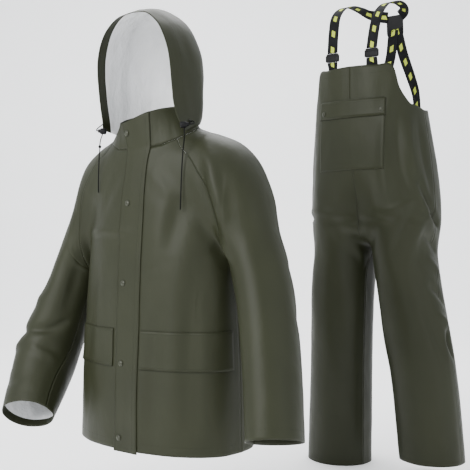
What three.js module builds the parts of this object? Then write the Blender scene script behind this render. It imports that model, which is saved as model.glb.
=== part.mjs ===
// Rain suit: a hooded jacket and bib overalls of coated cloth, filled out as if worn.
// Millimetres, +Z up. The origin is the middle of the jacket's neck opening, where shoulders hold it up.
// Each garment is worked out in its own frame, +X the wearer's left and -Y the front, and then placed.

import * as THREE from 'three';

// Cloth and seams
const wall = 1.6;
const seamGap = 0.3;
const layGap = 0.4;
const flapWall = 2;
const webWall = 2;
const webWidth = 39;

// Places: both garments face the same way, and the overalls stand behind on the wearer's left
const facing = -37;
const bibPlace = { x: 655, y: 650, z: -1022 };

// Colours
const oliveCloth = { color: 0x4f5140, roughness: 0.5, metalness: 0 };
const blackWeb = { color: 0x17181a, roughness: 0.8, metalness: 0 };
const blackPlastic = { color: 0x141414, roughness: 0.45, metalness: 0 };
const paintedSnap = { color: 0x565847, roughness: 0.35, metalness: 0.1 };
const darkMetal = { color: 0x2a2b26, roughness: 0.4, metalness: 0.7 };
const blackCord = { color: 0x1b1d18, roughness: 0.8, metalness: 0 };

// Jacket body: half width, depth to the front and to the back, middle in depth, at heights
const jacketBody = [
  { z: -830, half: 254, front: 160, back: 170, midX: 0, midY: 0 },
  { z: -640, half: 248, front: 156, back: 166, midX: 0, midY: 0 },
  { z: -470, half: 240, front: 150, back: 160, midX: 0, midY: 0 },
  { z: -330, half: 230, front: 145, back: 158, midX: 0, midY: 0 },
  { z: -220, half: 216, front: 138, back: 150, midX: 0, midY: 0 },
  { z: -130, half: 190, front: 128, back: 138, midX: 0, midY: -4 },
  { z: -60, half: 146, front: 107, back: 116, midX: 0, midY: -14 },
  { z: -20, half: 112, front: 91, back: 97, midX: 0, midY: -22 },
  { z: 20, half: 98, front: 86, back: 86, midX: 0, midY: -26 },
  { z: 90, half: 96, front: 84, back: 84, midX: 0, midY: -26 },
];
const jacketHem = -787;
const pocketFlapLow = -582;
const pocketFlapTop = -486;
const neckMiddleY = -26;
const frontRaglanTurn = 64;
const backRaglanTurn = 116;
const flapFreeTurn = -15;
const flapSewnTurn = 31;
const flapSewnX = 48;
const flapFreeX = [29, 29, 29, 29, 29, 29, 29, 28, 24, 22];

// Neck seam height by the turn from the front, in degrees
const neckSeam = [
  { turn: 0, z: -30 },
  { turn: 40, z: -27 },
  { turn: 64, z: -10 },
  { turn: 90, z: 18 },
  { turn: 120, z: 31 },
  { turn: 150, z: 38 },
  { turn: 180, z: 44 },
];

// Sleeves: middle line from neck to cuff, with the half widths front to back and side to side
const leftSleeve = [
  { x: 50, y: -6, z: -38, wide: 60, thin: 54 },
  { x: 125, y: -2, z: -50, wide: 80, thin: 64 },
  { x: 198, y: 0, z: -92, wide: 96, thin: 82 },
  { x: 248, y: -2, z: -164, wide: 98, thin: 80 },
  { x: 284, y: -6, z: -255, wide: 84, thin: 68 },
  { x: 336, y: -20, z: -375, wide: 78, thin: 66 },
  { x: 386, y: -60, z: -560, wide: 78, thin: 64 },
  { x: 425, y: -106, z: -736, wide: 78, thin: 62 },
];
const rightSleeve = [
  { x: 50, y: -6, z: -38, wide: 60, thin: 54 },
  { x: 124, y: -2, z: -51, wide: 80, thin: 65 },
  { x: 184, y: 0, z: -95, wide: 92, thin: 78 },
  { x: 222, y: 2, z: -168, wide: 94, thin: 74 },
  { x: 262, y: -10, z: -255, wide: 86, thin: 60 },
  { x: 303, y: -34, z: -375, wide: 84, thin: 58 },
  { x: 352, y: -95, z: -580, wide: 90, thin: 80 },
  { x: 300, y: -218, z: -744, wide: 62, thin: 78 },
];

// Bib overalls: trunk sections above the crotch, heights over the hem
const bibBody = [
  { z: 640, half: 208, front: 146, back: 160, midX: 12, midY: 0 },
  { z: 800, half: 212, front: 148, back: 162, midX: 10, midY: 0 },
  { z: 900, half: 214, front: 150, back: 166, midX: 6, midY: 0 },
  { z: 1000, half: 214, front: 151, back: 160, midX: 2, midY: 0 },
  { z: 1100, half: 203, front: 149, back: 148, midX: -3, midY: 0 },
  { z: 1200, half: 190, front: 147, back: 140, midX: -6, midY: 0 },
  { z: 1370, half: 178, front: 144, back: 134, midX: -8, midY: 0 },
];
const crotchHeight = 741;
const bibFrontTop = 1326;
const bibSideTop = 1182;
const bibBackTop = 1196;
const pocketLow = 984;
const pocketFlapEdge = 1156;
const pocketFlapSeam = 1215;

// Legs: middle line from hip to hem
const leftLeg = [
  { x: 98, y: 6, z: 900, wide: 136, thin: 108 },
  { x: 113, y: 4, z: 740, wide: 134, thin: 100 },
  { x: 142, y: 0, z: 560, wide: 116, thin: 102 },
  { x: 188, y: -8, z: 330, wide: 108, thin: 106 },
  { x: 222, y: -14, z: 46, wide: 98, thin: 106 },
];
const rightLeg = [
  { x: 86, y: 6, z: 900, wide: 136, thin: 108 },
  { x: 100, y: 4, z: 740, wide: 134, thin: 100 },
  { x: 116, y: 0, z: 560, wide: 116, thin: 106 },
  { x: 122, y: 0, z: 330, wide: 110, thin: 107 },
  { x: 128, y: 0, z: -8, wide: 104, thin: 112 },
];

// Small hardware
const snapRadius = 7.5;
const snapRise = 3.6;
const lockLength = 22;
const lockRadius = 8;
const cordRadius = 1.5;
const cordSides = 8;
const buckleWidth = 50;
const buckleHeight = 30;
const buckleDepth = 11;

// Plain vector sums on [x, y, z]
const plus = (a, b, k = 1) => [a[0] + b[0] * k, a[1] + b[1] * k, a[2] + b[2] * k];
const minus = (a, b) => plus(a, b, -1);
const dot = (a, b) => a[0] * b[0] + a[1] * b[1] + a[2] * b[2];
const cross = (a, b) => [a[1] * b[2] - a[2] * b[1], a[2] * b[0] - a[0] * b[2], a[0] * b[1] - a[1] * b[0]];
const size = (a) => Math.sqrt(dot(a, a));
const unit = (a) => a.map((value) => value / size(a));
const mix = (a, b, t) => a.map((value, axis) => value * (1 - t) + b[axis] * t);
const clamp = (value, low, high) => Math.min(high, Math.max(low, value));
const radians = (degrees) => degrees * Math.PI / 180;

// Direction part of the way along the great circle from a to b
function swing(a, b, t) {
  const from = unit(a);
  const to = unit(b);
  const angle = Math.acos(clamp(dot(from, to), -1, 1));
  if (angle < 1e-4) {
    return from;
  }
  const scale = Math.sin(angle);
  const kept = from.map((value) => value * Math.sin((1 - t) * angle) / scale);
  return plus(kept, to, Math.sin(t * angle) / scale);
}

// Smooth cubic through three or four neighbouring values at uneven places
function cubic(places, values, place) {
  const last = places.length - 1;
  const at = clamp(place, places[0], places[last]);
  let i = 0;
  while (i < last - 1 && at > places[i + 1]) {
    i += 1;
  }
  const chord = (k) => (values[k + 1] - values[k]) / (places[k + 1] - places[k]);
  const slope = (k) => {
    if (k === 0) {
      return chord(0);
    }
    if (k === last) {
      return chord(last - 1);
    }
    return (chord(k - 1) + chord(k)) / 2;
  };
  const step = places[i + 1] - places[i];
  const t = (at - places[i]) / step;
  const s = 1 - t;
  return values[i] * (1 + 2 * t) * s * s + slope(i) * step * t * s * s
    + values[i + 1] * t * t * (3 - 2 * t) - slope(i + 1) * step * t * t * s;
}

// Reader of one named column of a table against its key column
function column(rows, key, name) {
  const places = rows.map((row) => row[key]);
  const values = rows.map((row) => row[name]);
  return (place) => cubic(places, values, place);
}

// Signed distance, roughly, to a body of oval sections
function ovalBody(rows, power) {
  const read = {};
  for (const name of ['half', 'front', 'back', 'midX', 'midY']) {
    read[name] = column(rows, 'z', name);
  }
  return (p) => {
    const depth = p[1] - read.midY(p[2]);
    const half = read.half(p[2]);
    const reach = depth < 0 ? read.front(p[2]) : read.back(p[2]);
    const across = Math.abs(p[0] - read.midX(p[2])) / half;
    const sum = across ** power + (Math.abs(depth) / reach) ** power;
    return (sum ** (1 / power) - 1) * Math.sqrt(half * reach);
  };
}

// Point and half widths of a limb at a fraction of its rows
function limbAt(rows, place) {
  const numbered = rows.map((row, index) => ({ ...row, index }));
  const read = (name) => column(numbered, 'index', name)(place);
  return { at: [read('x'), read('y'), read('z')], wide: read('wide'), thin: read('thin') };
}

// Signed distance, roughly, to a limb of oval rings, mirrored for the wearer's right side
function limb(rows, side, steps) {
  const rings = [];
  for (let i = 0; i <= steps; i += 1) {
    rings.push(limbAt(rows, i * (rows.length - 1) / steps));
  }
  const pieces = rings.slice(0, steps).map((ring, i) => {
    const along = minus(rings[i + 1].at, ring.at);
    const length = size(along);
    const axis = unit(along);
    const wideAxis = unit(plus([0, 1, 0], axis, -axis[1]));
    return { ring, next: rings[i + 1], along, length, wideAxis, last: i === steps - 1 };
  });
  return (p) => {
    const q = [p[0] * side, p[1], p[2]];
    let best = Infinity;
    for (const piece of pieces) {
      const raw = dot(minus(q, piece.ring.at), piece.along) / piece.length ** 2;
      const t = clamp(raw, 0, piece.last ? 9 : 1);
      const grow = Math.min(t, 1);
      const wide = piece.ring.wide + (piece.next.wide - piece.ring.wide) * grow;
      const thin = piece.ring.thin + (piece.next.thin - piece.ring.thin) * grow;
      const away = minus(q, plus(piece.ring.at, piece.along, t));
      const up = dot(away, piece.wideAxis);
      const rest = Math.max(dot(away, away) - up * up, 0);
      const value = (Math.sqrt((up / wide) ** 2 + rest / thin ** 2) - 1) * Math.sqrt(wide * thin);
      best = Math.min(best, value);
    }
    return best;
  };
}

// Union of two forms with a rounded fillet
function blend(a, b, round) {
  const h = clamp(0.5 + 0.5 * (b - a) / round, 0, 1);
  return b * (1 - h) + a * h - round * h * (1 - h);
}

// First crossing of a ray that starts inside a form, with steps short enough not to leap a gap
const longestStep = 14;

function crossing(form, from, aim) {
  const direction = unit(aim);
  let travel = 0;
  for (let i = 0; i < 70; i += 1) {
    travel += clamp(-0.75 * form(plus(from, direction, travel)), -longestStep, longestStep);
  }
  return plus(from, direction, travel);
}

// Outward direction of a form at a point
function outward(form, p) {
  const reach = 1.5;
  return unit([0, 1, 2].map((axis) => {
    const step = [0, 0, 0];
    step[axis] = reach;
    return form(plus(p, step)) - form(minus(p, step));
  }));
}

// Rays part of the way along a list of stations, each with a start and an aim
function rayAt(stations, place) {
  const places = stations.map((station, index) => index);
  const read = (name, axis) => cubic(places, stations.map((station) => station[name][axis]), place);
  return {
    from: [read('from', 0), read('from', 1), read('from', 2)],
    aim: unit([read('aim', 0), read('aim', 1), read('aim', 2)]),
  };
}

// Rays up a lower list of stations, then up an upper one that starts where the lower one ends
function rayUp(lower, upper, place) {
  const turning = lower.length - 1;
  return place <= turning ? rayAt(lower, place) : rayAt(upper, place - turning);
}

// Rays across one row of a panel: between its control rays, with so many cells in each span
function raysAcross(controls, cells) {
  const rays = [controls[0]];
  cells.forEach((count, span) => {
    for (let i = 1; i <= count; i += 1) {
      const t = i / count;
      rays.push({
        from: mix(controls[span].from, controls[span + 1].from, t),
        aim: swing(controls[span].aim, controls[span + 1].aim, t),
      });
    }
  });
  return rays;
}

const flipRay = (ray, side) => ({
  from: [ray.from[0] * side, ray.from[1], ray.from[2]],
  aim: [ray.aim[0] * side, ray.aim[1], ray.aim[2]],
});

// Grid of surface points and directions from rows of rays
function surface(form, rows) {
  return rows.map((rays) => rays.map((ray) => {
    const at = crossing(form, ray.from, ray.aim);
    return { at, out: outward(form, at) };
  }));
}

// Closed sheet over a grid of points: the outer face, the inner face one wall below, and the rims
function sheet(grid, thickness, lift = 0, trim = seamGap / 2) {
  const tall = grid.length;
  const broad = grid[0].length;
  const pull = (cell, next) => plus(cell.at, unit(minus(next.at, cell.at)), trim);
  const inset = grid.map((row, i) => row.map((cell, j) => {
    let at = cell.at;
    if (j === 0) {
      at = plus(at, minus(pull(cell, row[1]), cell.at));
    }
    if (j === broad - 1) {
      at = plus(at, minus(pull(cell, row[broad - 2]), cell.at));
    }
    if (i === 0) {
      at = plus(at, minus(pull(cell, grid[1][j]), cell.at));
    }
    if (i === tall - 1) {
      at = plus(at, minus(pull(cell, grid[tall - 2][j]), cell.at));
    }
    return { at, out: cell.out };
  }));
  const positions = [];
  for (const depth of [lift, lift - thickness]) {
    for (const row of inset) {
      for (const cell of row) {
        positions.push(...plus(cell.at, cell.out, depth));
      }
    }
  }
  const top = (i, j) => i * broad + j;
  const low = (i, j) => tall * broad + i * broad + j;
  const faces = [];
  const quad = (a, b, c, d) => faces.push(a, b, c, a, c, d);
  for (let i = 0; i < tall - 1; i += 1) {
    for (let j = 0; j < broad - 1; j += 1) {
      quad(top(i, j), top(i, j + 1), top(i + 1, j + 1), top(i + 1, j));
      quad(low(i, j), low(i + 1, j), low(i + 1, j + 1), low(i, j + 1));
    }
  }
  for (let j = 0; j < broad - 1; j += 1) {
    quad(top(0, j), low(0, j), low(0, j + 1), top(0, j + 1));
    quad(top(tall - 1, j), top(tall - 1, j + 1), low(tall - 1, j + 1), low(tall - 1, j));
  }
  for (let i = 0; i < tall - 1; i += 1) {
    quad(top(i, 0), top(i + 1, 0), low(i + 1, 0), low(i, 0));
    quad(top(i, broad - 1), low(i, broad - 1), low(i + 1, broad - 1), top(i + 1, broad - 1));
  }
  return closedGeometry(positions, faces);
}

// Indexed geometry with its faces turned outward
function closedGeometry(positions, faces) {
  let volume = 0;
  const at = (index) => positions.slice(index * 3, index * 3 + 3);
  for (let i = 0; i < faces.length; i += 3) {
    volume += dot(at(faces[i]), cross(at(faces[i + 1]), at(faces[i + 2])));
  }
  const turned = [...faces];
  if (volume < 0) {
    for (let i = 0; i < faces.length; i += 3) {
      turned[i + 1] = faces[i + 2];
      turned[i + 2] = faces[i + 1];
    }
  }
  const geometry = new THREE.BufferGeometry();
  geometry.setAttribute('position', new THREE.Float32BufferAttribute(positions, 3));
  geometry.setIndex(turned);
  return geometry;
}

// Part of a panel's grid between rows and columns, given as fractions of its index
function partOf(grid, rows, columns) {
  const lines = (range) => {
    const list = [range[0]];
    for (let i = Math.floor(range[0]) + 1; i < range[1]; i += 1) {
      list.push(i);
    }
    list.push(range[1]);
    return list;
  };
  const cellAt = (v, u) => {
    const i = Math.min(Math.floor(v), grid.length - 2);
    const j = Math.min(Math.floor(u), grid[0].length - 2);
    const low = mixCell(grid[i][j], grid[i][j + 1], u - j);
    const high = mixCell(grid[i + 1][j], grid[i + 1][j + 1], u - j);
    return mixCell(low, high, v - i);
  };
  return lines(rows).map((v) => lines(columns).map((u) => cellAt(v, u)));
}

const mixCell = (a, b, t) => ({ at: mix(a.at, b.at, t), out: unit(mix(a.out, b.out, t)) });

// Point of a grid at fractions of its rows and columns, with the outward direction of the cell it lies in
function spotOn(grid, v, u) {
  const { at } = partOf(grid, [v, v], [u, u])[0][0];
  const i = Math.min(Math.floor(v), grid.length - 2);
  const j = Math.min(Math.floor(u), grid[0].length - 2);
  const along = minus(grid[i + 1][j].at, grid[i][j].at);
  const across = minus(grid[i][j + 1].at, grid[i][j].at);
  const out = unit(cross(along, across));
  return { at, out: dot(out, grid[i][j].out) < 0 ? out.map((value) => -value) : out };
}

// Jacket form: the body with both sleeves
const sleeveSteps = 22;
const bodyForm = ovalBody(jacketBody, 2.3);
const leftSleeveForm = limb(leftSleeve, 1, sleeveSteps);
const rightSleeveForm = limb(rightSleeve, -1, sleeveSteps);
const filletRows = [
  { z: -420, round: 8 },
  { z: -300, round: 14 },
  { z: -160, round: 60 },
  { z: 100, round: 60 },
];
const fillet = column(filletRows, 'z', 'round');

function jacketForm(p) {
  const round = fillet(p[2]);
  return blend(blend(bodyForm(p), leftSleeveForm(p), round), rightSleeveForm(p), round);
}

const neckHeight = column(neckSeam, 'turn', 'z');

function neckRay(turn) {
  const z = neckHeight(Math.abs(turn));
  const angle = radians(turn);
  return { from: [0, neckMiddleY, z], aim: [Math.sin(angle), -Math.cos(angle), 0] };
}

// Stations up the jacket: 0 hem, 1 and 2 pocket flap, 3 chest, 4 below the arm, 5 underarm, 10 neck.
// Written for the wearer's left and mirrored for the right.
const sideStations = [
  { from: [0, 0, jacketHem], aim: [1, 0, 0] },
  { from: [0, 0, pocketFlapLow], aim: [1, 0, 0] },
  { from: [0, 0, pocketFlapTop], aim: [1, 0, 0] },
  { from: [0, 0, -410], aim: [1, 0, 0] },
  { from: [110, 0, -330], aim: [0.97, 0, -0.24] },
  { from: [236, 0, -230], aim: [0, 0, -1] },
];
const frontRaglan = [
  { from: [236, 0, -230], aim: [0, 0, -1] },
  { from: [234, 0, -196], aim: [0, -0.85, -0.5] },
  { from: [216, 0, -146], aim: [0, -1, 0] },
  { from: [186, 0, -92], aim: [0, -1, 0] },
  { from: [140, -6, -46], aim: [0, -1, 0.1] },
  neckRay(frontRaglanTurn),
];
const backRaglan = [
  { from: [236, 0, -230], aim: [0, 0, -1] },
  { from: [234, 0, -190], aim: [0, 0.85, -0.5] },
  { from: [214, 0, -130], aim: [0, 1, 0] },
  { from: [176, 0, -78], aim: [0, 1, 0.1] },
  { from: [126, -6, -28], aim: [0, 1, 0.25] },
  neckRay(backRaglanTurn),
];
const riseFront = [jacketHem, pocketFlapLow, pocketFlapTop, -410, -340, -272, -222, -168, -116, -70, -30];
const riseBack = [jacketHem, pocketFlapLow, pocketFlapTop, -410, -340, -272, -210, -146, -82, -18, 44];
const middleY = [-10, -10, -10, -10, -10, -10, -10, -12, -18, -22];
const fanStart = [110, 118, 126, 134, 146, 152, 146, 132, 110, 78];
const fanSpread = [0.6, 0.6, 0.6, 0.55, 0.45, 0.3, 0.12, 0, 0, 0];

// Straight-on rays at a distance from the middle line, up the front or the back
const straight = (xAt, rise, side, neckTurn) => rise.map((z, i) => {
  if (i === rise.length - 1) {
    return neckRay(neckTurn);
  }
  return { from: [xAt(i), middleY[i], z], aim: [0, side, 0] };
});

// Fanned rays between the middle and the side seam
const fanned = (rise, side, neckTurn) => rise.map((z, i) => {
  if (i === rise.length - 1) {
    return neckRay(neckTurn);
  }
  return { from: [fanStart[i], middleY[i], z], aim: [fanSpread[i], side, 0] };
});

const lowerRows = [0, 0.35, 0.7, 1, 1.5, 2, 2.5, 3, 3.5, 4, 4.5];
const upperRows = [5, 5.35, 5.7, 6.4, 7.1, 7.8, 8.5, 9.2, 10];
const jacketRows = [...lowerRows, ...upperRows];

function frontPanel(side) {
  const edgeX = side > 0 ? () => flapSewnX : (i) => flapFreeX[i];
  const edgeTurn = side > 0 ? flapSewnTurn : -flapFreeTurn;
  const middle = straight(() => 0, riseFront, -1, 0);
  const edge = straight(edgeX, riseFront, -1, edgeTurn);
  const fan = fanned(riseFront, -1, (edgeTurn + frontRaglanTurn) / 2);
  const rows = jacketRows.map((place) => {
    const inner = [middle, edge, fan].map((stations) => rayAt(stations, place));
    const controls = [...inner, rayUp(sideStations, frontRaglan, place)];
    return raysAcross(controls.map((ray) => flipRay(ray, side)), [1, 4, 4]);
  });
  return surface(jacketForm, rows);
}

function backPanel() {
  const middle = straight(() => 0, riseBack, 1, 180);
  const fan = fanned(riseBack, 1, 148);
  const rows = jacketRows.map((place) => {
    const seamRay = rayUp(sideStations, backRaglan, place);
    const fanRay = rayAt(fan, place);
    const controls = [seamRay, fanRay, rayAt(middle, place), flipRay(fanRay, -1), flipRay(seamRay, -1)];
    return raysAcross(controls, [4, 4, 4, 4]);
  });
  return surface(jacketForm, rows);
}

// Sleeve: whole rounds from the cuff to the underarm, then the raglan cap up to the neck
const cuffPlace = 6.9;
const sleevePlaces = { left: { underarm: 3.9, clear: 4.75 }, right: { underarm: 4.5, clear: 5.2 } };
const sleeveRings = 13;
const sleeveCells = [4, 4, 4, 4];
const shoulderAim = [0.75, 0, 0.66];
const outerTurnRate = 1.6;
const spreadRate = 2.2;
const capNeckTurns = [frontRaglanTurn, 77, 90, 103, backRaglanTurn];
const capPlace = 5;
const capMiddle = [
  { place: 6.6, x: 214, y: 0, z: -122 },
  { place: 8.4, x: 120, y: -6, z: -48 },
  { place: 10, x: 0, y: neckMiddleY, z: 18 },
];

function sleevePanel(side, rows) {
  const { underarm: underarmPlace, clear: clearPlace } = side > 0 ? sleevePlaces.left : sleevePlaces.right;
  const seamPoint = (stations, place) => {
    const at = crossing(jacketForm, ...Object.values(flipRay(rayAt(stations, place), side)));
    return [at[0] * side, at[1], at[2]];
  };
  const under = seamPoint(frontRaglan, 0);
  const frame = (place) => {
    const { at } = limbAt(rows, place);
    const along = unit(minus(limbAt(rows, place + 0.05).at, limbAt(rows, place - 0.05).at));
    const back = unit(plus([0, 1, 0], along, -along[1]));
    const across = cross(along, back);
    const inner = across[0] < 0 ? across : across.map((value) => -value);
    return { at, back, inner };
  };
  const clear = frame(clearPlace);
  const clearPoint = crossing(
    jacketForm, ...Object.values(flipRay({ from: clear.at, aim: clear.inner }, side)));
  const clearInner = [clearPoint[0] * side, clearPoint[1], clearPoint[2]];
  const rays = [];
  for (let i = 0; i < sleeveRings; i += 1) {
    const place = cuffPlace + (underarmPlace - cuffPlace) * i / (sleeveRings - 1);
    const ring = frame(place);
    let inner = ring.inner;
    if (place < clearPlace) {
      const t = (clearPlace - place) / (clearPlace - underarmPlace);
      inner = unit(minus(mix(clearInner, under, t), ring.at));
    }
    const outer = ring.inner.map((value) => -value);
    const front = ring.back.map((value) => -value);
    const aims = [inner, front, outer, ring.back, inner];
    rays.push(raysAcross(aims.map((aim) => ({ from: ring.at, aim })), sleeveCells));
  }
  const start = frame(underarmPlace);
  const [x, y, z] = start.at;
  const middles = [{ place: capPlace, x, y, z }, ...capMiddle];
  for (const place of upperRows.slice(1)) {
    const from = ['x', 'y', 'z'].map((name) => column(middles, 'place', name)(place));
    const t = (place - capPlace) / capPlace;
    const front = unit(minus(seamPoint(frontRaglan, place - capPlace), from));
    const back = unit(minus(seamPoint(backRaglan, place - capPlace), from));
    const outer = swing(start.inner.map((value) => -value), shoulderAim, Math.min(1, t * outerTurnRate));
    const spread = Math.min(1, t * spreadRate);
    const frontMid = swing(start.back.map((value) => -value), swing(front, outer, 0.5), spread);
    const backMid = swing(start.back, swing(back, outer, 0.5), spread);
    if (place === 10) {
      rays.push(raysAcross(capNeckTurns.map(neckRay), sleeveCells));
    } else {
      const aims = [front, frontMid, outer, backMid, back];
      rays.push(raysAcross(aims.map((aim) => ({ from, aim })), sleeveCells));
    }
  }
  const grid = surface(jacketForm, rays.map((row) => row.map((ray) => flipRay(ray, side))));
  return easedShoulder(easedUnderarm(grid), side);
}

// Ring at the underarm, let down a little on either side of the underarm point
const underarmEase = [0, 0.4, 0.3, 0.15];

function easedUnderarm(grid) {
  const ring = sleeveRings - 1;
  const last = grid[0].length - 1;
  const row = grid[ring].map((cell, j) => {
    const ease = underarmEase[Math.min(j, last - j)] ?? 0;
    return mixCell(cell, grid[ring - 1][j], ease);
  });
  return [...grid.slice(0, ring), row, ...grid.slice(ring + 1)];
}

// Row of the cap nearest the neck, aimed from inside the shoulder at points between its neighbours
const shoulderInside = [105, -15, -60];

function easedShoulder(grid, side) {
  const last = grid.length - 1;
  const between = (upperRows.at(-2) - upperRows.at(-3)) / (upperRows.at(-1) - upperRows.at(-3));
  const from = [shoulderInside[0] * side, shoulderInside[1], shoulderInside[2]];
  const edge = grid[0].length - 1;
  const row = grid[last - 1].map((cell, j) => {
    if (j === 0 || j === edge) {
      return cell;
    }
    const aim = minus(mix(grid[last - 2][j].at, grid[last][j].at, between), from);
    const at = crossing(jacketForm, from, aim);
    return { at, out: outward(jacketForm, at) };
  });
  return [...grid.slice(0, last - 1), row, grid[last]];
}

// Row of a panel's grid at a height, along one of its columns
function rowAtHeight(grid, columnIndex, z) {
  for (let i = 0; i < grid.length - 1; i += 1) {
    const low = grid[i][columnIndex].at[2];
    const high = grid[i + 1][columnIndex].at[2];
    if (z >= low && z <= high) {
      return i + (z - low) / (high - low);
    }
  }
  return grid.length - 1;
}

// Collar: a standing band round the neck seam, its ends meeting under the storm flap
const collarTop = [
  { turn: -180, z: 84 },
  { turn: -120, z: 76 },
  { turn: -90, z: 62 },
  { turn: -50, z: 42 },
  { turn: -22, z: 36 },
  { turn: 0, z: 42 },
  { turn: 31, z: 60 },
  { turn: 50, z: 68 },
  { turn: 75, z: 75 },
  { turn: 120, z: 80 },
  { turn: 180, z: 84 },
];
const collarRise = [0, 0.16, 0.58, 1];
const collarHalf = 95;
const collarReach = 95;
const collarMiddleY = -33;
const collarHeight = column(collarTop, 'turn', 'z');
const collarLean = [
  { foot: -180, rim: -180 },
  { foot: -60, rim: -62 },
  { foot: -15, rim: -24 },
  { foot: 0, rim: 0 },
  { foot: 31, rim: 31 },
  { foot: 180, rim: 180 },
];
const rimTurn = column(collarLean, 'foot', 'rim');

// Point of the collar at a share of its height, over a point of the neck seam
function collarOver(foot, share) {
  const turn = Math.atan2(foot[0], neckMiddleY - foot[1]) * 180 / Math.PI;
  const above = radians(rimTurn(turn));
  const rim = [
    Math.sin(above) * collarHalf,
    collarMiddleY - Math.cos(above) * collarReach,
    collarHeight(rimTurn(turn)),
  ];
  return { at: mix(foot, rim, share), out: [Math.sin(radians(turn)), -Math.cos(radians(turn)), 0] };
}

function collarCell(turn, share) {
  const ray = neckRay(turn);
  return collarOver(crossing(jacketForm, ray.from, ray.aim), share);
}

// Hood: a deep dome, widest at the face, drawn in round the foot of the collar
const hoodSize = { half: 131, front: 170, back: 117, top: 168, low: 640, middleY: -40, middleZ: 168 };
const hoodFacePower = 3.2;
const hoodBackPower = 2.1;
const hoodRise = 4;
const hoodCells = 10;
const hoodDrawIn = 0.8;
const hoodStartTurn = 84;
const hoodFreeShare = 0.2;
const hoodClear = 2.6;
const hoodCorner = { x: 145, y: -86, left: 4, right: 30 };

function hoodForm(p) {
  const ahead = p[1] < hoodSize.middleY;
  const power = ahead ? hoodFacePower : hoodBackPower;
  const across = Math.abs(p[0]) / hoodSize.half;
  const deep = Math.abs(p[1] - hoodSize.middleY) / (ahead ? hoodSize.front : hoodSize.back);
  const plan = (across ** power + deep ** power) ** (1 / power);
  const up = p[2] - hoodSize.middleZ;
  const high = up / (up > 0 ? hoodSize.top : hoodSize.low);
  return (Math.hypot(plan, high) - 1) * hoodSize.half;
}

const hoodRay = (y, z, degrees, sideways) => {
  const level = Math.cos(radians(degrees));
  const rise = Math.sin(radians(degrees));
  return { from: [0, y, z], aim: sideways ? [level, 0, rise] : [0, level, rise] };
};
const faceStations = [
  hoodRay(-102, 30, 0, true),
  hoodRay(-114, 92, 0, true),
  hoodRay(-124, 168, 0, true),
  hoodRay(-131, 168, 44, true),
  hoodRay(-125, 168, 90, true),
];
const crownStations = [
  hoodRay(-20, 46, 0, false),
  hoodRay(-20, 100, 0, false),
  hoodRay(-20, 168, 0, false),
  hoodRay(-20, 168, 26, false),
  hoodRay(-30, 168, 52, false),
];

function hoodPanel(side) {
  const rows = [];
  for (let i = 0; i <= hoodCells; i += 1) {
    const place = hoodRise * i / hoodCells;
    const rays = raysAcross([rayAt(faceStations, place), rayAt(crownStations, place)], [hoodCells]);
    rows.push(rays.map((ray) => flipRay(ray, side)));
  }
  const dome = surface(hoodForm, rows);
  return dome.map((row, i) => row.map((cell, j) => {
    const place = hoodRise * i / hoodCells;
    const share = j / hoodCells;
    if (place >= hoodDrawIn) {
      return cell;
    }
    const round = Math.max(0, share - hoodFreeShare) / (1 - hoodFreeShare);
    const turn = hoodStartTurn + (180 - hoodStartTurn) * round;
    const foot = collarCell(turn * side, 0.12);
    const seat = plus(foot.at, foot.out, wall + hoodClear);
    const corner = [hoodCorner.x * side, hoodCorner.y, side > 0 ? hoodCorner.left : hoodCorner.right];
    const edge = share < hoodFreeShare ? mix(corner, seat, share / hoodFreeShare) : seat;
    const draw = (1 - place / hoodDrawIn) ** 2;
    return { at: mix(cell.at, edge, draw), out: unit(mix(cell.out, foot.out, draw * 0.5)) };
  }));
}

// Bib overalls form: the trunk down to the crotch and both legs
const crotchRound = 50;
const trunkOval = ovalBody(bibBody, 2.4);
const leftLegForm = limb(leftLeg, 1, 14);
const rightLegForm = limb(rightLeg, -1, 14);

function bibForm(p) {
  const trunk = -blend(-trunkOval(p), p[2] - (crotchHeight + 25), crotchRound);
  const legs = blend(leftLegForm(p), rightLegForm(p), 10);
  return blend(trunk, legs, crotchRound);
}

// Point on a leg's middle line at a height
function legMiddle(side, z) {
  const rows = [...(side > 0 ? leftLeg : rightLeg)].reverse();
  return [side * column(rows, 'z', 'x')(z), column(rows, 'z', 'y')(z), z];
}

// Stations up the overalls: 0 hem to 4 thigh, 5 crotch, 6 to 8 seat, 8 pocket foot, 9 and 10 pocket flap,
// 11 top.
// Four columns: inseam and middle seam, pocket edge, side front, outseam.
const legHeights = { left: [46, 190, 380, 560, 660], right: [-8, 180, 380, 560, 660] };
const crotchX = 8;

function bibStations(side, face) {
  const columns = [[], [], [], []];
  const put = (index, from, aim) => columns[index].push({ from, aim });
  for (const z of side > 0 ? legHeights.left : legHeights.right) {
    const middle = legMiddle(side, z);
    put(0, middle, [-0.96 * side, -0.28, 0]);
    put(1, middle, [-0.3 * side, face, 0]);
    put(2, middle, [0.7 * side, 0.72 * face, 0]);
    put(3, middle, [side, 0, 0]);
  }
  put(0, [crotchX, 0, 806], [0, 0, -1]);
  put(1, [80 * side, 0, 735], [-0.1 * side, face, 0]);
  put(2, [104 * side, 0, 745], [0.66 * side, 0.76 * face, 0]);
  put(3, [104 * side, 0, 750], [side, 0, 0]);
  const upper = face < 0 ? frontUpper : backUpper;
  for (const row of upper) {
    const edge = side > 0 ? pocketEdge.left : pocketEdge.right;
    const edgeX = edge * row.spread;
    put(0, [row.seamX, 0, row.seam], [0, face, row.seamTilt]);
    put(1, [edgeX, 0, row.edge], [0, face, 0]);
    put(2, [120 * side, 0, row.flank], [0.62 * side, 0.78 * face, 0]);
    put(3, [60 * side, 0, row.side], [side, 0, 0]);
  }
  return columns;
}

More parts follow.
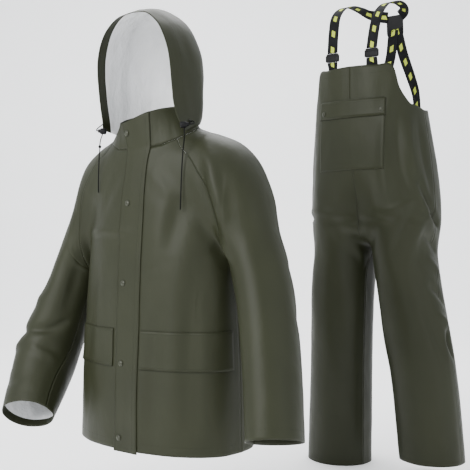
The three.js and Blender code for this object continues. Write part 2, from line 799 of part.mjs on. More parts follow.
const pocketEdge = { left: 112, right: -128 };
const frontUpper = [
  { seam: 815, seamX: 22, seamTilt: -0.35, edge: 815, flank: 815, side: 815, spread: 0.9 },
  { seam: 890, seamX: 18, seamTilt: 0, edge: 890, flank: 890, side: 890, spread: 1 },
  { seam: pocketLow, seamX: 6, seamTilt: 0, edge: pocketLow, flank: 960, side: 960, spread: 1 },
  {
    seam: pocketFlapEdge, seamX: -6, seamTilt: 0, edge: pocketFlapEdge, flank: 1085, side: 1080, spread: 1,
  },
  {
    seam: pocketFlapSeam, seamX: -8, seamTilt: 0, edge: pocketFlapSeam, flank: 1140, side: 1130, spread: 1,
  },
  {
    seam: bibFrontTop, seamX: -10, seamTilt: 0, edge: bibFrontTop - 4, flank: 1206, side: bibSideTop,
    spread: 1.13,
  },
];
const backUpper = [
  { seam: 815, seamX: 8, seamTilt: -0.35, edge: 815, flank: 815, side: 815, spread: 0.9 },
  { seam: 890, seamX: 2, seamTilt: 0, edge: 890, flank: 890, side: 890, spread: 1 },
  { seam: 968, seamX: 0, seamTilt: 0, edge: 968, flank: 960, side: 960, spread: 1 },
  { seam: 1085, seamX: -4, seamTilt: 0, edge: 1085, flank: 1085, side: 1080, spread: 1 },
  { seam: 1140, seamX: -6, seamTilt: 0, edge: 1140, flank: 1140, side: 1130, spread: 1 },
  { seam: bibBackTop, seamX: -8, seamTilt: 0, edge: bibBackTop, flank: 1190, side: bibSideTop, spread: 1 },
];
const bibRows = [0, 0.5, 1, 1.5, 2, 2.5, 3, 3.5, 4, 4.4, 4.7, 5, 5.5, 6, 7, 8, 8.5, 9, 9.5, 10, 10.5, 11];
const pocketFootRow = bibRows.indexOf(8);
const flapEdgeRow = bibRows.indexOf(9);
const flapSeamRow = bibRows.indexOf(10);
const bibCells = [3, 3, 3];

// How far the armhole's edge dips below a straight line, at each column of the front's top row
const armholeDip = [0, 0, 0, 0, 32, 28, 9, 3, 0, 0];
const dipStart = 10;

function dipped(rays, place) {
  const share = clamp(place - dipStart, 0, 1);
  return rays.map((ray, j) => ({ from: plus(ray.from, [0, 0, -armholeDip[j] * share]), aim: ray.aim }));
}

function bibPanel(side, face) {
  const columns = bibStations(side, face);
  const crotchStation = 5;
  const rows = bibRows.map((place) => {
    const controls = columns.map((stations) => (
      rayUp(stations.slice(0, crotchStation + 1), stations.slice(crotchStation), place)));
    const rays = raysAcross(controls, bibCells);
    return face < 0 ? dipped(rays, place) : rays;
  });
  return surface(bibForm, rows);
}

// Ribbon of webbing along hand-placed points, flat against a facing direction
function webbing(points, faces, width) {
  const path = new THREE.CatmullRomCurve3(points.map((p) => new THREE.Vector3(...p)), false, 'centripetal');
  const cuts = (points.length - 1) * 2;
  const grid = [];
  for (let i = 0; i <= cuts; i += 1) {
    const t = i / cuts;
    const at = path.getPoint(t).toArray();
    const along = path.getTangent(t).toArray();
    const place = t * (faces.length - 1);
    const k = Math.min(Math.floor(place), faces.length - 2);
    const facingOut = mix(faces[k], faces[k + 1], place - k);
    const across = unit(cross(along, facingOut));
    const out = unit(cross(across, along));
    grid.push([-0.5, 0.5].map((share) => ({ at: plus(at, across, share * width), out })));
  }
  return sheet(grid, webWall, webWall / 2, 0);
}

// Solid turned from a profile of radius and height, set on a point along a direction
function turned(profile, sides, at, out) {
  const geometry = new THREE.LatheGeometry(profile.map(([r, h]) => new THREE.Vector2(r, h)), sides);
  const upright = new THREE.Vector3(0, 1, 0);
  const turn = new THREE.Quaternion().setFromUnitVectors(upright, new THREE.Vector3(...out));
  geometry.applyQuaternion(turn);
  geometry.translate(...at);
  return geometry;
}

const snapProfile = [
  [0, 0],
  [snapRadius, 0],
  [snapRadius, 1.2],
  [snapRadius * 0.8, snapRise * 0.85],
  [snapRadius * 0.4, snapRise],
  [0, snapRise],
];
const eyeletProfile = [
  [2.1, 0],
  [6, 0],
  [5.4, 1.4],
  [3.6, 1.6],
  [2.1, 0],
];
const beadProfile = [
  [0, -4],
  [2.6, -3.6],
  [4.4, 0],
  [2.6, 3.6],
  [0, 4],
];
const lockProfile = [
  [0, -lockLength / 2],
  [lockRadius * 0.7, -lockLength / 2],
  [lockRadius, -lockLength / 2 + 3],
  [lockRadius, lockLength / 2 - 6],
  [lockRadius * 0.6, lockLength / 2 - 4],
  [lockRadius * 0.6, lockLength / 2],
  [0, lockLength / 2],
];

// Round cord along hand-placed points
function cord(points) {
  const path = new THREE.CatmullRomCurve3(points.map((p) => new THREE.Vector3(...p)), false, 'centripetal');
  const section = new THREE.Shape();
  for (let i = 0; i < cordSides; i += 1) {
    const angle = i * 2 * Math.PI / cordSides;
    const spot = [cordRadius * Math.cos(angle), cordRadius * Math.sin(angle)];
    if (i === 0) {
      section.moveTo(...spot);
    } else {
      section.lineTo(...spot);
    }
  }
  const steps = Math.ceil(path.getLength() / (cordRadius * 2 * 2.8));
  return new THREE.ExtrudeGeometry(section, { steps, extrudePath: path, curveSegments: 1 });
}

// Side-release buckle: a rounded plate with a window for the webbing at each end
function buckle() {
  const shape = new THREE.Shape();
  const half = buckleWidth / 2;
  const tall = buckleHeight / 2;
  const corner = 7;
  shape.moveTo(-half + corner, -tall);
  shape.lineTo(half - corner, -tall);
  shape.quadraticCurveTo(half, -tall, half, -tall + corner);
  shape.lineTo(half, tall - corner);
  shape.quadraticCurveTo(half, tall, half - corner, tall);
  shape.lineTo(-half + corner, tall);
  shape.quadraticCurveTo(-half, tall, -half, tall - corner);
  shape.lineTo(-half, -tall + corner);
  shape.quadraticCurveTo(-half, -tall, -half + corner, -tall);
  const geometry = new THREE.ExtrudeGeometry(shape, {
    depth: buckleDepth - 4,
    bevelEnabled: true,
    bevelThickness: 2,
    bevelSize: 2,
    bevelOffset: -2,
    bevelSegments: 1,
    curveSegments: 3,
  });
  geometry.translate(0, 0, 2 - buckleDepth / 2);
  geometry.rotateX(Math.PI / 2);
  return geometry;
}

// Suit
const suit = new THREE.Group();
const jacket = new THREE.Group();
const bibs = new THREE.Group();
jacket.rotation.z = radians(facing);
bibs.rotation.z = radians(facing);
bibs.position.set(bibPlace.x, bibPlace.y, bibPlace.z);
suit.add(jacket, bibs);

function add(group, name, geometry, look) {
  const mesh = new THREE.Mesh(geometry, new THREE.MeshStandardMaterial(look));
  mesh.name = name;
  group.add(mesh);
  return mesh;
}

// Jacket body and sleeves
const frontLeft = frontPanel(1);
const frontRight = frontPanel(-1);
const back = backPanel();
add(jacket, 'jacket_front_left', sheet(frontLeft, wall), oliveCloth);
add(jacket, 'jacket_front_right', sheet(frontRight, wall), oliveCloth);
add(jacket, 'jacket_back', sheet(back, wall), oliveCloth);
const sleeveLeftGrid = sleevePanel(1, leftSleeve);
const sleeveRightGrid = sleevePanel(-1, rightSleeve);
add(jacket, 'jacket_sleeve_left', sheet(sleeveLeftGrid, wall), oliveCloth);
add(jacket, 'jacket_sleeve_right', sheet(sleeveRightGrid, wall), oliveCloth);

// Collar and hood
const neckRow = (grid) => grid[grid.length - 1].map((cell) => cell.at);
const neckLine = [
  ...neckRow(frontLeft),
  ...neckRow(sleeveLeftGrid).slice(1),
  ...neckRow(back).slice(1),
  ...neckRow(sleeveRightGrid).reverse().slice(1),
  ...neckRow(frontRight).reverse().slice(1),
];
const collar = collarRise.map((share) => neckLine.map((foot) => collarOver(foot, share)));
add(jacket, 'jacket_collar', sheet(collar, wall), oliveCloth);
for (const [name, side] of [['hood_left', 1], ['hood_right', -1]]) {
  add(jacket, name, sheet(hoodPanel(side), wall), oliveCloth);
}

// Storm flap over the front edges, up to the collar's rim and a little past the hem
const flapDip = 5;
const flapGrid = frontLeft.map((row, i) => [frontRight[i][1], row[0], row[1]]);
const flapFoot = flapGrid[0].map((cell) => ({ at: plus(cell.at, [0, 0, -flapDip]), out: cell.out }));
const flapHead = collarRise.slice(1).map((share) => (
  [flapFreeTurn, 0, flapSewnTurn].map((turn) => collarCell(turn, share))));
const stormFlap = [flapFoot, ...flapGrid, ...flapHead];
add(jacket, 'storm_flap', sheet(stormFlap, flapWall, layGap + flapWall, 0), oliveCloth);

// Pocket flaps across each front
const pocketRows = [lowerRows.indexOf(1), lowerRows.indexOf(2)];
const pocketFlap = (grid, columns) => (
  sheet(partOf(grid, pocketRows, columns), flapWall, layGap + flapWall, 0));
const pocketFlapColumns = { left: [1.15, 8.6], right: [1.3, 8.5] };
add(jacket, 'pocket_flap_left', pocketFlap(frontLeft, pocketFlapColumns.left), oliveCloth);
add(jacket, 'pocket_flap_right', pocketFlap(frontRight, pocketFlapColumns.right), oliveCloth);

// Snaps on the storm flap, about 200 mm apart
const snapRows = [
  { z: -758, share: 0.56 },
  { z: -572, share: 0.66 },
  { z: -371, share: 0.68 },
  { z: -170, share: 0.84 },
  { z: 12, share: 0.44 },
];
const snapClear = 0.9;
const snapSeat = layGap + flapWall + snapClear;
snapRows.forEach(({ z, share }, i) => {
  const v = rowAtHeight(stormFlap, 1, z);
  const spot = spotOn(stormFlap, v, share);
  const at = plus(spot.at, spot.out, snapSeat);
  add(jacket, `flap_snap_${i + 1}`, turned(snapProfile, 12, at, spot.out), paintedSnap);
});

// Hood eyelets, cord locks and cord tails
const eyeletRow = { left: 0.55, right: 1.4 };
const eyeletLift = { left: 2.2, right: 1.7 };
const eyelets = {};
for (const [name, side] of [['left', 1], ['right', -1]]) {
  const spot = spotOn(hoodPanel(side), eyeletRow[name], 1.5);
  const at = plus(spot.at, spot.out, eyeletLift[name]);
  eyelets[name] = { at, out: spot.out };
  add(jacket, `hood_eyelet_${name}`, turned(eyeletProfile, 12, at, spot.out), darkMetal);
}
const locks = {
  left: { at: [153, -101, 20], along: unit([0.8, 0.6, 0.12]) },
  right: { at: [-129, -104, 24], along: unit([-0.8, -0.6, 0.1]) },
};
for (const [name, lock] of Object.entries(locks)) {
  add(jacket, `cord_lock_${name}`, turned(lockProfile, 10, lock.at, lock.along), blackPlastic);
}

// Cord from the middle of an eyelet round to the end of its lock
const cordSeat = 0.8;
const cordStand = 5;
const lockLead = 3.5;

function cordToLock(name, bend) {
  const eyelet = eyelets[name];
  const lock = locks[name];
  const lockEnd = plus(lock.at, lock.along, lockLength / 2 + seamGap);
  return cord([
    plus(eyelet.at, eyelet.out, cordSeat),
    plus(eyelet.at, eyelet.out, cordStand),
    bend,
    plus(lockEnd, lock.along, lockLead),
    lockEnd,
  ]);
}

add(jacket, 'hood_cord_left_upper', cordToLock('left', [162, -76, 24]), blackCord);
add(jacket, 'hood_cord_right_upper', cordToLock('right', [-150, -88, 42]), blackCord);
const leftCord = [
  [153, -101, 11.6],
  [154, -102, -8],
  [153, -105, -34],
  [151, -107, -70],
  [150, -109, -110],
  [149, -110, -150],
  [149, -112, -188],
];
const rightCordKnot = [
  [-129, -104, 15.4],
  [-132, -106, 4],
  [-134, -108, -12.6],
];
const rightCord = [
  [-134, -108, -21.4],
  [-134, -110, -40],
  [-134, -112, -75],
  [-134, -113, -110],
  [-134, -113, -138],
];
add(jacket, 'hood_cord_left_tail', cord(leftCord), blackCord);
add(jacket, 'hood_cord_right_knot', cord(rightCordKnot), blackCord);
add(jacket, 'hood_cord_right_tail', cord(rightCord), blackCord);
add(jacket, 'cord_knot_right', turned(beadProfile, 10, [-134, -108, -17], [0, 0, 1]), blackCord);

// Bib overalls panels
const bibFrontLeft = bibPanel(1, -1);
const bibFrontRight = bibPanel(-1, -1);
add(bibs, 'bib_front_left', sheet(bibFrontLeft, wall), oliveCloth);
add(bibs, 'bib_front_right', sheet(bibFrontRight, wall), oliveCloth);
add(bibs, 'bib_back_left', sheet(bibPanel(1, 1), wall), oliveCloth);
add(bibs, 'bib_back_right', sheet(bibPanel(-1, 1), wall), oliveCloth);

// Bib pocket and its flap, across the middle seam
const pocketSpan = (row) => [
  bibFrontRight[row][3], bibFrontRight[row][2], bibFrontRight[row][1],
  bibFrontLeft[row][0], bibFrontLeft[row][1], bibFrontLeft[row][2], bibFrontLeft[row][3],
];
const rowsBetween = (low, high) => Array.from({ length: high - low + 1 }, (_, i) => pocketSpan(low + i));
const bagLift = layGap + wall;
add(bibs, 'bib_pocket', sheet(rowsBetween(pocketFootRow, flapSeamRow), wall, bagLift, 0), oliveCloth);
const coverLift = bagLift + layGap + flapWall;
const cover = rowsBetween(flapEdgeRow, flapSeamRow);
add(bibs, 'bib_pocket_flap', sheet(cover, flapWall, coverLift, 0), oliveCloth);
const pocketSnapRow = 0.45;
const pocketSnapLift = 0.5;
const pocketSnapColumn = { left: 5.7, right: 0.45 };
for (const [name, across] of Object.entries(pocketSnapColumn)) {
  const spot = spotOn(cover, pocketSnapRow, across);
  const at = plus(spot.at, spot.out, coverLift + pocketSnapLift);
  add(bibs, `pocket_snap_${name}`, turned(snapProfile, 12, at, spot.out), paintedSnap);
}

// Braces: short tabs inside the bib, buckles, and straps that cross at a patch on the back
const strapX = { left: 67, right: -79 };
const buckleZ = 1363;
const buckleY = -135;
const tabLean = { left: 0.26, right: -0.25 };
const tabY = { left: -131.4, right: -131.6 };
for (const [name, x] of Object.entries(strapX)) {
  const low = tabY[name];
  const tab = [
    [x, low, 1278],
    [x, low, 1305],
    [x, low - 1, 1330],
    [x, buckleY, buckleZ - buckleHeight / 2 - 0.4],
  ];
  const leaning = [tabLean[name], -1, 0];
  const tabFaces = [leaning, leaning, leaning, [0, -1, 0]];
  add(bibs, `brace_tab_${name}`, webbing(tab, tabFaces, webWidth), blackWeb);
  const plate = add(bibs, `brace_buckle_${name}`, buckle(), blackPlastic);
  plate.position.set(x, buckleY, buckleZ);
}
const strapStart = buckleZ + buckleHeight / 2 + 0.8;
const overShoulder = {
  right: [
    [-79, buckleY, strapStart],
    [-79, -127, 1450],
    [-80, -111, 1502],
    [-80, -72, 1538],
    [-78, -12, 1559],
    [-73, 44, 1560],
    [-58, 88, 1550],
    [-30, 113, 1543],
    [-4, 120, 1538],
  ],
  left: [
    [67, buckleY, strapStart],
    [68, -120, 1440],
    [70, -100, 1492],
    [73, -60, 1532],
    [76, -4, 1554],
    [78, 46, 1560],
    [72, 90, 1553],
    [60, 112, 1547],
    [44, 120, 1538],
  ],
};
const shoulderFaces = [[0, -1, 0.1], [0, -0.9, 0.45], [0, 0, 1], [0, 0.7, 0.7], [0, 0.97, 0.2]];
const downBack = {
  right: [
    [12, 125, 1467],
    [2, 130, 1400],
    [-22, 134, 1326],
    [-44, 135.1, 1262],
    [-58, 133, 1200],
    [-64, 132, 1160],
  ],
  left: [
    [34, 128.5, 1467.6],
    [50, 133, 1400],
    [76, 134, 1326],
    [98, 129, 1262],
    [110, 115.1, 1200],
    [113, 112.5, 1160],
  ],
};
const backFaces = {
  right: [[0, 1, 0], [0, 1, 0], [-0.12, 1, 0], [-0.12, 1, 0]],
  left: [[0, 1, 0], [0.1, 1, 0], [0.25, 0.97, 0], [0.43, 0.9, 0], [0.43, 0.9, 0]],
};
for (const name of ['right', 'left']) {
  add(bibs, `brace_over_${name}`, webbing(overShoulder[name], shoulderFaces, webWidth), blackWeb);
  add(bibs, `brace_back_${name}`, webbing(downBack[name], backFaces[name], webWidth), blackWeb);
}
const patchSize = { width: 64, thick: 2.4, height: 72 };
const patchPlace = { x: 20, y: 127.5, z: 1508.4 };
const patchTilt = 0.08;
const patchBox = new THREE.BoxGeometry(patchSize.width, patchSize.thick, patchSize.height);
const patch = add(bibs, 'brace_patch', patchBox, blackPlastic);
patch.position.set(patchPlace.x, patchPlace.y, patchPlace.z);
patch.rotation.x = patchTilt;

export default suit;
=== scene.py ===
import math
import bmesh
import bpy
import numpy as np
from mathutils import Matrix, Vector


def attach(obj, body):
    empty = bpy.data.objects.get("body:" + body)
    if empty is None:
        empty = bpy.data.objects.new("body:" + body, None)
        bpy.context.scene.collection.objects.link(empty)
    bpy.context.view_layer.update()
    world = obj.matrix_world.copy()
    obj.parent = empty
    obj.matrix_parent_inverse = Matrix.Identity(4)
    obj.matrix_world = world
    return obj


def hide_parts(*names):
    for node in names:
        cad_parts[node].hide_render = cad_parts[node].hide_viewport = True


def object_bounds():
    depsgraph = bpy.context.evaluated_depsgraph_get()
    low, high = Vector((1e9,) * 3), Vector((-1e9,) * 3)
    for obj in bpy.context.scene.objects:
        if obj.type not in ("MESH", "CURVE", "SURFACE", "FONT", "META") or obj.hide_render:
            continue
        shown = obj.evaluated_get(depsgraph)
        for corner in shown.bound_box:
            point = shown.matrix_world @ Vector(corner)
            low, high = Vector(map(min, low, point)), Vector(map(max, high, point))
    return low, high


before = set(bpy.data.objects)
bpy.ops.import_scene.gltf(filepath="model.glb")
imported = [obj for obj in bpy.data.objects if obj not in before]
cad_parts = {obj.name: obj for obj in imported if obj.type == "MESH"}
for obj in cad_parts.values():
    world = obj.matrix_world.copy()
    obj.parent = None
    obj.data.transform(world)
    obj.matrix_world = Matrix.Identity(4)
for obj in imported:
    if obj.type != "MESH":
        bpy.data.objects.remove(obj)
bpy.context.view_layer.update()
print("rain suit: frame loaded")

# Camera: level, in front of the jacket, on a 36 mm sensor
cameraSettings = {"place": (0.185, -2.25, -0.25), "lens": 65.1, "sensor": 36.0}
cameraData = bpy.data.cameras.new("suitCamera")
cameraData.sensor_width = cameraSettings["sensor"]
cameraData.lens = cameraSettings["lens"]
camera = bpy.data.objects.new("suitCamera", cameraData)
camera.location = cameraSettings["place"]
camera.rotation_euler = (math.pi / 2, 0, 0)
bpy.context.scene.collection.objects.link(camera)
bpy.context.scene.camera = camera

# Both garments are worked out in millimetres, +X the wearer's left and -Y the front, then placed
suitSettings = {"facing": -37.0, "bibPlace": (655.0, 650.0, -1022.0), "wall": 1.6, "seam": 0.15}
jacketPlace = (0.0, 0.0, 0.0)
bibPlace = suitSettings["bibPlace"]


def placed(points, place):
    # turned about the upright axis by the facing angle, moved to its place, and given in metres
    turn = math.radians(suitSettings["facing"])
    c, s = math.cos(turn), math.sin(turn)
    x, y, z = points[..., 0], points[..., 1], points[..., 2]
    return np.stack([x * c - y * s + place[0], x * s + y * c + place[1], z + place[2]], -1) * 0.001


def unit(vectors):
    # each vector over its own length
    return vectors / np.maximum(np.linalg.norm(vectors, axis=-1, keepdims=True), 1e-9)


def curveAt(places, values, at):
    # cubic Hermite through the values, each inner slope the mean of the chords beside it
    places = np.asarray(places, float)
    values = np.asarray(values, float)
    at = np.clip(np.asarray(at, float), places[0], places[-1])
    gap = np.diff(places)
    shape = (-1,) + (1,) * (values.ndim - 1)
    chord = np.diff(values, axis=0) / gap.reshape(shape)
    slope = np.concatenate([chord[:1], (chord[1:] + chord[:-1]) / 2, chord[-1:]])
    i = np.clip(np.searchsorted(places, at, side="right") - 1, 0, len(places) - 2)
    more = (1,) * (values.ndim - 1)
    step = gap[i].reshape(at.shape + more)
    t = ((at - places[i]) / gap[i]).reshape(at.shape + more)
    u = 1 - t
    return (values[i] * (1 + 2 * t) * u * u + slope[i] * step * t * u * u
            + values[i + 1] * t * t * (3 - 2 * t) - slope[i + 1] * step * t * t * u)


def swing(a, b, t):
    # direction a share t of the way along the great circle from a to b
    a, b = unit(a), unit(b)
    angle = np.arccos(np.clip((a * b).sum(-1, keepdims=True), -1, 1))
    scale = np.where(angle < 1e-4, 1, np.sin(angle))
    return np.where(angle < 1e-4, a, (a * np.sin((1 - t) * angle) + b * np.sin(t * angle)) / scale)


def blended(a, b, smooth):
    # smaller of two fields, rounded where they are within the smoothing width of each other
    h = np.clip(0.5 + 0.5 * (b - a) / smooth, 0, 1)
    return b * (1 - h) + a * h - smooth * h * (1 - h)


def ovalField(table, power):
    # |x / half| to the power plus |y / depth| to the power, its root less one, times the mean radius
    def field(p):
        half, front, back, midX, midY = np.moveaxis(curveAt(table[:, 0], table[:, 1:], p[..., 2]), -1, 0)
        deep = p[..., 1] - midY
        reach = np.where(deep < 0, front, back)
        total = (np.abs(p[..., 0] - midX) / half) ** power + (np.abs(deep) / reach) ** power
        return (total ** (1 / power) - 1) * np.sqrt(half * reach)
    return field


def limbAt(table, place):
    # middle point and two half widths of a limb at a fraction of its rows
    return curveAt(np.arange(len(table)), table, place)


def limbField(table, side, steps):
    # oval rings carried along the limb's middle line, each point measured to the nearest stretch
    rings = limbAt(table, np.linspace(0, len(table) - 1, steps + 1))

    def field(p):
        q = p * np.array([side, 1.0, 1.0])
        best = np.full(p.shape[:-1], 1e9)
        for i in range(steps):
            along = rings[i + 1, :3] - rings[i, :3]
            length = np.linalg.norm(along)
            axis = along / length
            wideAxis = unit(np.array([0, 1.0, 0]) - axis * axis[1])
            t = np.clip((q - rings[i, :3]) @ along / length ** 2, 0, 9 if i == steps - 1 else 1)
            grow = np.minimum(t, 1)
            wide = rings[i, 3] + (rings[i + 1, 3] - rings[i, 3]) * grow
            thin = rings[i, 4] + (rings[i + 1, 4] - rings[i, 4]) * grow
            away = q - rings[i, :3] - along * t[..., None]
            up = away @ wideAxis
            rest = np.maximum((away ** 2).sum(-1) - up * up, 0)
            best = np.minimum(best, (np.sqrt((up / wide) ** 2 + rest / thin ** 2) - 1) * np.sqrt(wide * thin))
        return best
    return field


def cast(field, start, aim):
    # walk along each ray by three quarters of the field's distance until it vanishes
    aim = unit(aim)
    start, aim = np.broadcast_arrays(start, aim)
    travel = np.zeros(start.shape[:-1])
    for _ in range(70):
        travel = travel + np.clip(-0.75 * field(start + aim * travel[..., None]), -14, 14)
    return start + aim * travel[..., None]


def outward(field, p):
    # unit gradient of the field, by differences 1.5 mm either way
    steps = np.eye(3) * 1.5
    return unit(np.stack([field(p + step) - field(p - step) for step in steps], -1))


def raysUp(stations, places, turning=None):
    # stations as rows of start and aim; past the turning station they're read as a list of their own
    stations = np.asarray(stations, float)
    places = np.asarray(places, float)
    if turning is None:
        return curveAt(np.arange(len(stations)), stations, places)
    low = curveAt(np.arange(turning + 1), stations[:turning + 1], places)
    high = curveAt(np.arange(len(stations) - turning), stations[turning:], places - turning)
    return np.where((places <= turning)[:, None], low, high)


def raysAcross(controls, cells):
    # starts mixed evenly and aims swung between neighbouring control rays
    parts = [controls[0][:, None]]
    for k, count in enumerate(cells):
        t = (np.arange(1, count + 1) / count)[None, :, None]
        a, b = controls[k][:, None], controls[k + 1][:, None]
        start = a[..., :3] * (1 - t) + b[..., :3] * t
        parts.append(np.concatenate([start, swing(a[..., 3:], b[..., 3:], t)], -1))
    return np.concatenate(parts, 1)


def flipped(rays, side):
    # mirrored to the wearer's right where side is -1
    return rays * np.array([side, 1, 1, side, 1, 1.0])


# Jacket form
jacketSettings = {
    "hem": -787.0, "flapLow": -582.0, "flapTop": -486.0, "neckY": -26.0, "frontRaglan": 64.0,
    "backRaglan": 116.0, "flapFree": -15.0, "flapSewn": 31.0, "flapSewnX": 48.0,
    "flapFreeX": (29, 29, 29, 29, 29, 29, 29, 28, 24, 22, 22),
}
jacketBody = np.array([  # height, half width, front depth, back depth, middle x and y
    (-830, 254, 160, 170, 0, 0), (-640, 248, 156, 166, 0, 0), (-470, 240, 150, 160, 0, 0),
    (-330, 230, 145, 158, 0, 0), (-220, 216, 138, 150, 0, 0), (-130, 190, 128, 138, 0, -4),
    (-60, 146, 107, 116, 0, -14), (-20, 112, 91, 97, 0, -22), (20, 98, 86, 86, 0, -26),
    (90, 96, 84, 84, 0, -26)], float)
leftSleeve = np.array([  # middle x, y, z, half width front to back and side to side
    (50, -6, -38, 60, 54), (125, -2, -50, 80, 64), (198, 0, -92, 96, 82), (248, -2, -164, 98, 80),
    (284, -6, -255, 84, 68), (336, -20, -375, 78, 66), (386, -60, -560, 78, 64),
    (425, -106, -736, 78, 62)], float)
rightSleeve = np.array([
    (50, -6, -38, 60, 54), (124, -2, -51, 80, 65), (184, 0, -95, 92, 78), (222, 2, -168, 94, 74),
    (262, -10, -255, 86, 60), (303, -34, -375, 84, 58), (352, -95, -580, 90, 80),
    (300, -218, -744, 62, 78)], float)
neckSeam = np.array([(0, -30), (40, -27), (64, -10), (90, 18), (120, 31), (150, 38), (180, 44)], float)
filletRows = np.array([(-420, 8), (-300, 14), (-160, 60), (100, 60)], float)
bodyField = ovalField(jacketBody, 2.3)
leftSleeveField = limbField(leftSleeve, 1, 22)
rightSleeveField = limbField(rightSleeve, -1, 22)


def jacketField(p):
    # the body blended with each sleeve, with a fillet that grows towards the shoulder
    smooth = curveAt(filletRows[:, 0], filletRows[:, 1], p[..., 2])
    return blended(blended(bodyField(p), leftSleeveField(p), smooth), rightSleeveField(p), smooth)


def neckRays(turns):
    # level rays from the neck's middle at the seam's height, turned from the front
    turns = np.atleast_1d(np.asarray(turns, float))
    height = curveAt(neckSeam[:, 0], neckSeam[:, 1], np.abs(turns))
    angle = np.radians(turns)
    zero = 0 * turns
    return np.stack([zero, zero + jacketSettings["neckY"], height, np.sin(angle), -np.cos(angle), zero], -1)


def neckStation(turn):
    return tuple(neckRays(turn)[0])


hem, flapLow, flapTop = jacketSettings["hem"], jacketSettings["flapLow"], jacketSettings["flapTop"]
sideStations = [(0, 0, hem, 1, 0, 0), (0, 0, flapLow, 1, 0, 0), (0, 0, flapTop, 1, 0, 0),
                (0, 0, -410, 1, 0, 0), (110, 0, -330, 0.97, 0, -0.24)]
frontRaglan = [(236, 0, -230, 0, 0, -1), (234, 0, -196, 0, -0.85, -0.5), (216, 0, -146, 0, -1, 0),
               (186, 0, -92, 0, -1, 0), (140, -6, -46, 0, -1, 0.1),
               neckStation(jacketSettings["frontRaglan"])]
backRaglan = [(236, 0, -230, 0, 0, -1), (234, 0, -190, 0, 0.85, -0.5), (214, 0, -130, 0, 1, 0),
              (176, 0, -78, 0, 1, 0.1), (126, -6, -28, 0, 1, 0.25),
              neckStation(jacketSettings["backRaglan"])]
riseFront = (hem, flapLow, flapTop, -410, -340, -272, -222, -168, -116, -70)
riseBack = (hem, flapLow, flapTop, -410, -340, -272, -210, -146, -82, -18)
middleDepth = (-10, -10, -10, -10, -10, -10, -10, -12, -18, -22)
fanStart = (110, 118, 126, 134, 146, 152, 146, 132, 110, 78)
fanSpread = (0.6, 0.6, 0.6, 0.55, 0.45, 0.3, 0.12, 0, 0, 0)
jacketRows = np.array([0, 0.35, 0.7, 1, 1.5, 2, 2.5, 3, 3.5, 4, 4.5, 5,
                       5.35, 5.7, 6.4, 7.1, 7.8, 8.5, 9.2, 10])
underarmRow = 11
capRows = jacketRows[underarmRow + 1:]


def straight(xs, rise, face, turn):
    # rays straight to the front or back, at a distance from the middle, ending on the neck seam
    rows = [(x, y, z, 0, face, 0) for x, y, z in zip(xs, middleDepth, rise)]
    return raysUp(rows + [neckStation(turn)], jacketRows)


def fanned(rise, face, turn):
    # rays between the middle and the side seam, leaning outwards low down
    rows = [(x, y, z, lean, face, 0) for x, y, z, lean in zip(fanStart, middleDepth, rise, fanSpread)]
    return raysUp(rows + [neckStation(turn)], jacketRows)


def gridOn(field, rays):
    # the points where the rays leave the form
    return cast(field, rays[..., :3], rays[..., 3:])


def frontGrid(side):
    # middle, flap edge, fan and side seam rays, cast on the jacket's form
    s = jacketSettings
    edgeX = [s["flapSewnX"]] * 10 if side > 0 else s["flapFreeX"]
    edgeTurn = s["flapSewn"] if side > 0 else -s["flapFree"]
    controls = [straight([0] * 10, riseFront, -1, 0), straight(edgeX, riseFront, -1, edgeTurn),
                fanned(riseFront, -1, (edgeTurn + s["frontRaglan"]) / 2),
                raysUp(sideStations + frontRaglan, jacketRows, 5)]
    return gridOn(jacketField, flipped(raysAcross(controls, (1, 4, 4)), side))


def backGrid():
    # side seam, fan and middle rays, and the same mirrored
    seam = raysUp(sideStations + backRaglan, jacketRows, 5)
    fan = fanned(riseBack, 1, 148)
    middle = straight([0] * 10, riseBack, 1, 180)
    controls = [seam, fan, middle, flipped(fan, -1), flipped(seam, -1)]
    return gridOn(jacketField, raysAcross(controls, (4, 4, 4, 4)))


sleeveSettings = {1: {"table": leftSleeve, "under": 3.9, "clear": 4.75},
                  -1: {"table": rightSleeve, "under": 4.5, "clear": 5.2}}
capMiddle = np.array([(6.6, 214, 0, -122), (8.4, 120, -6, -48), (10, 0, -26, 18)], float)  # row, then x, y, z


def limbFrame(table, place):
    # middle point, direction to the back and to the body, square to the limb
    at = limbAt(table, place)[..., :3]
    along = unit(limbAt(table, place + 0.05)[..., :3] - limbAt(table, place - 0.05)[..., :3])
    back = unit(np.array([0, 1.0, 0]) - along * along[..., 1:2])
    across = np.cross(along, back)
    return at, back, np.where(across[..., :1] < 0, across, -across)


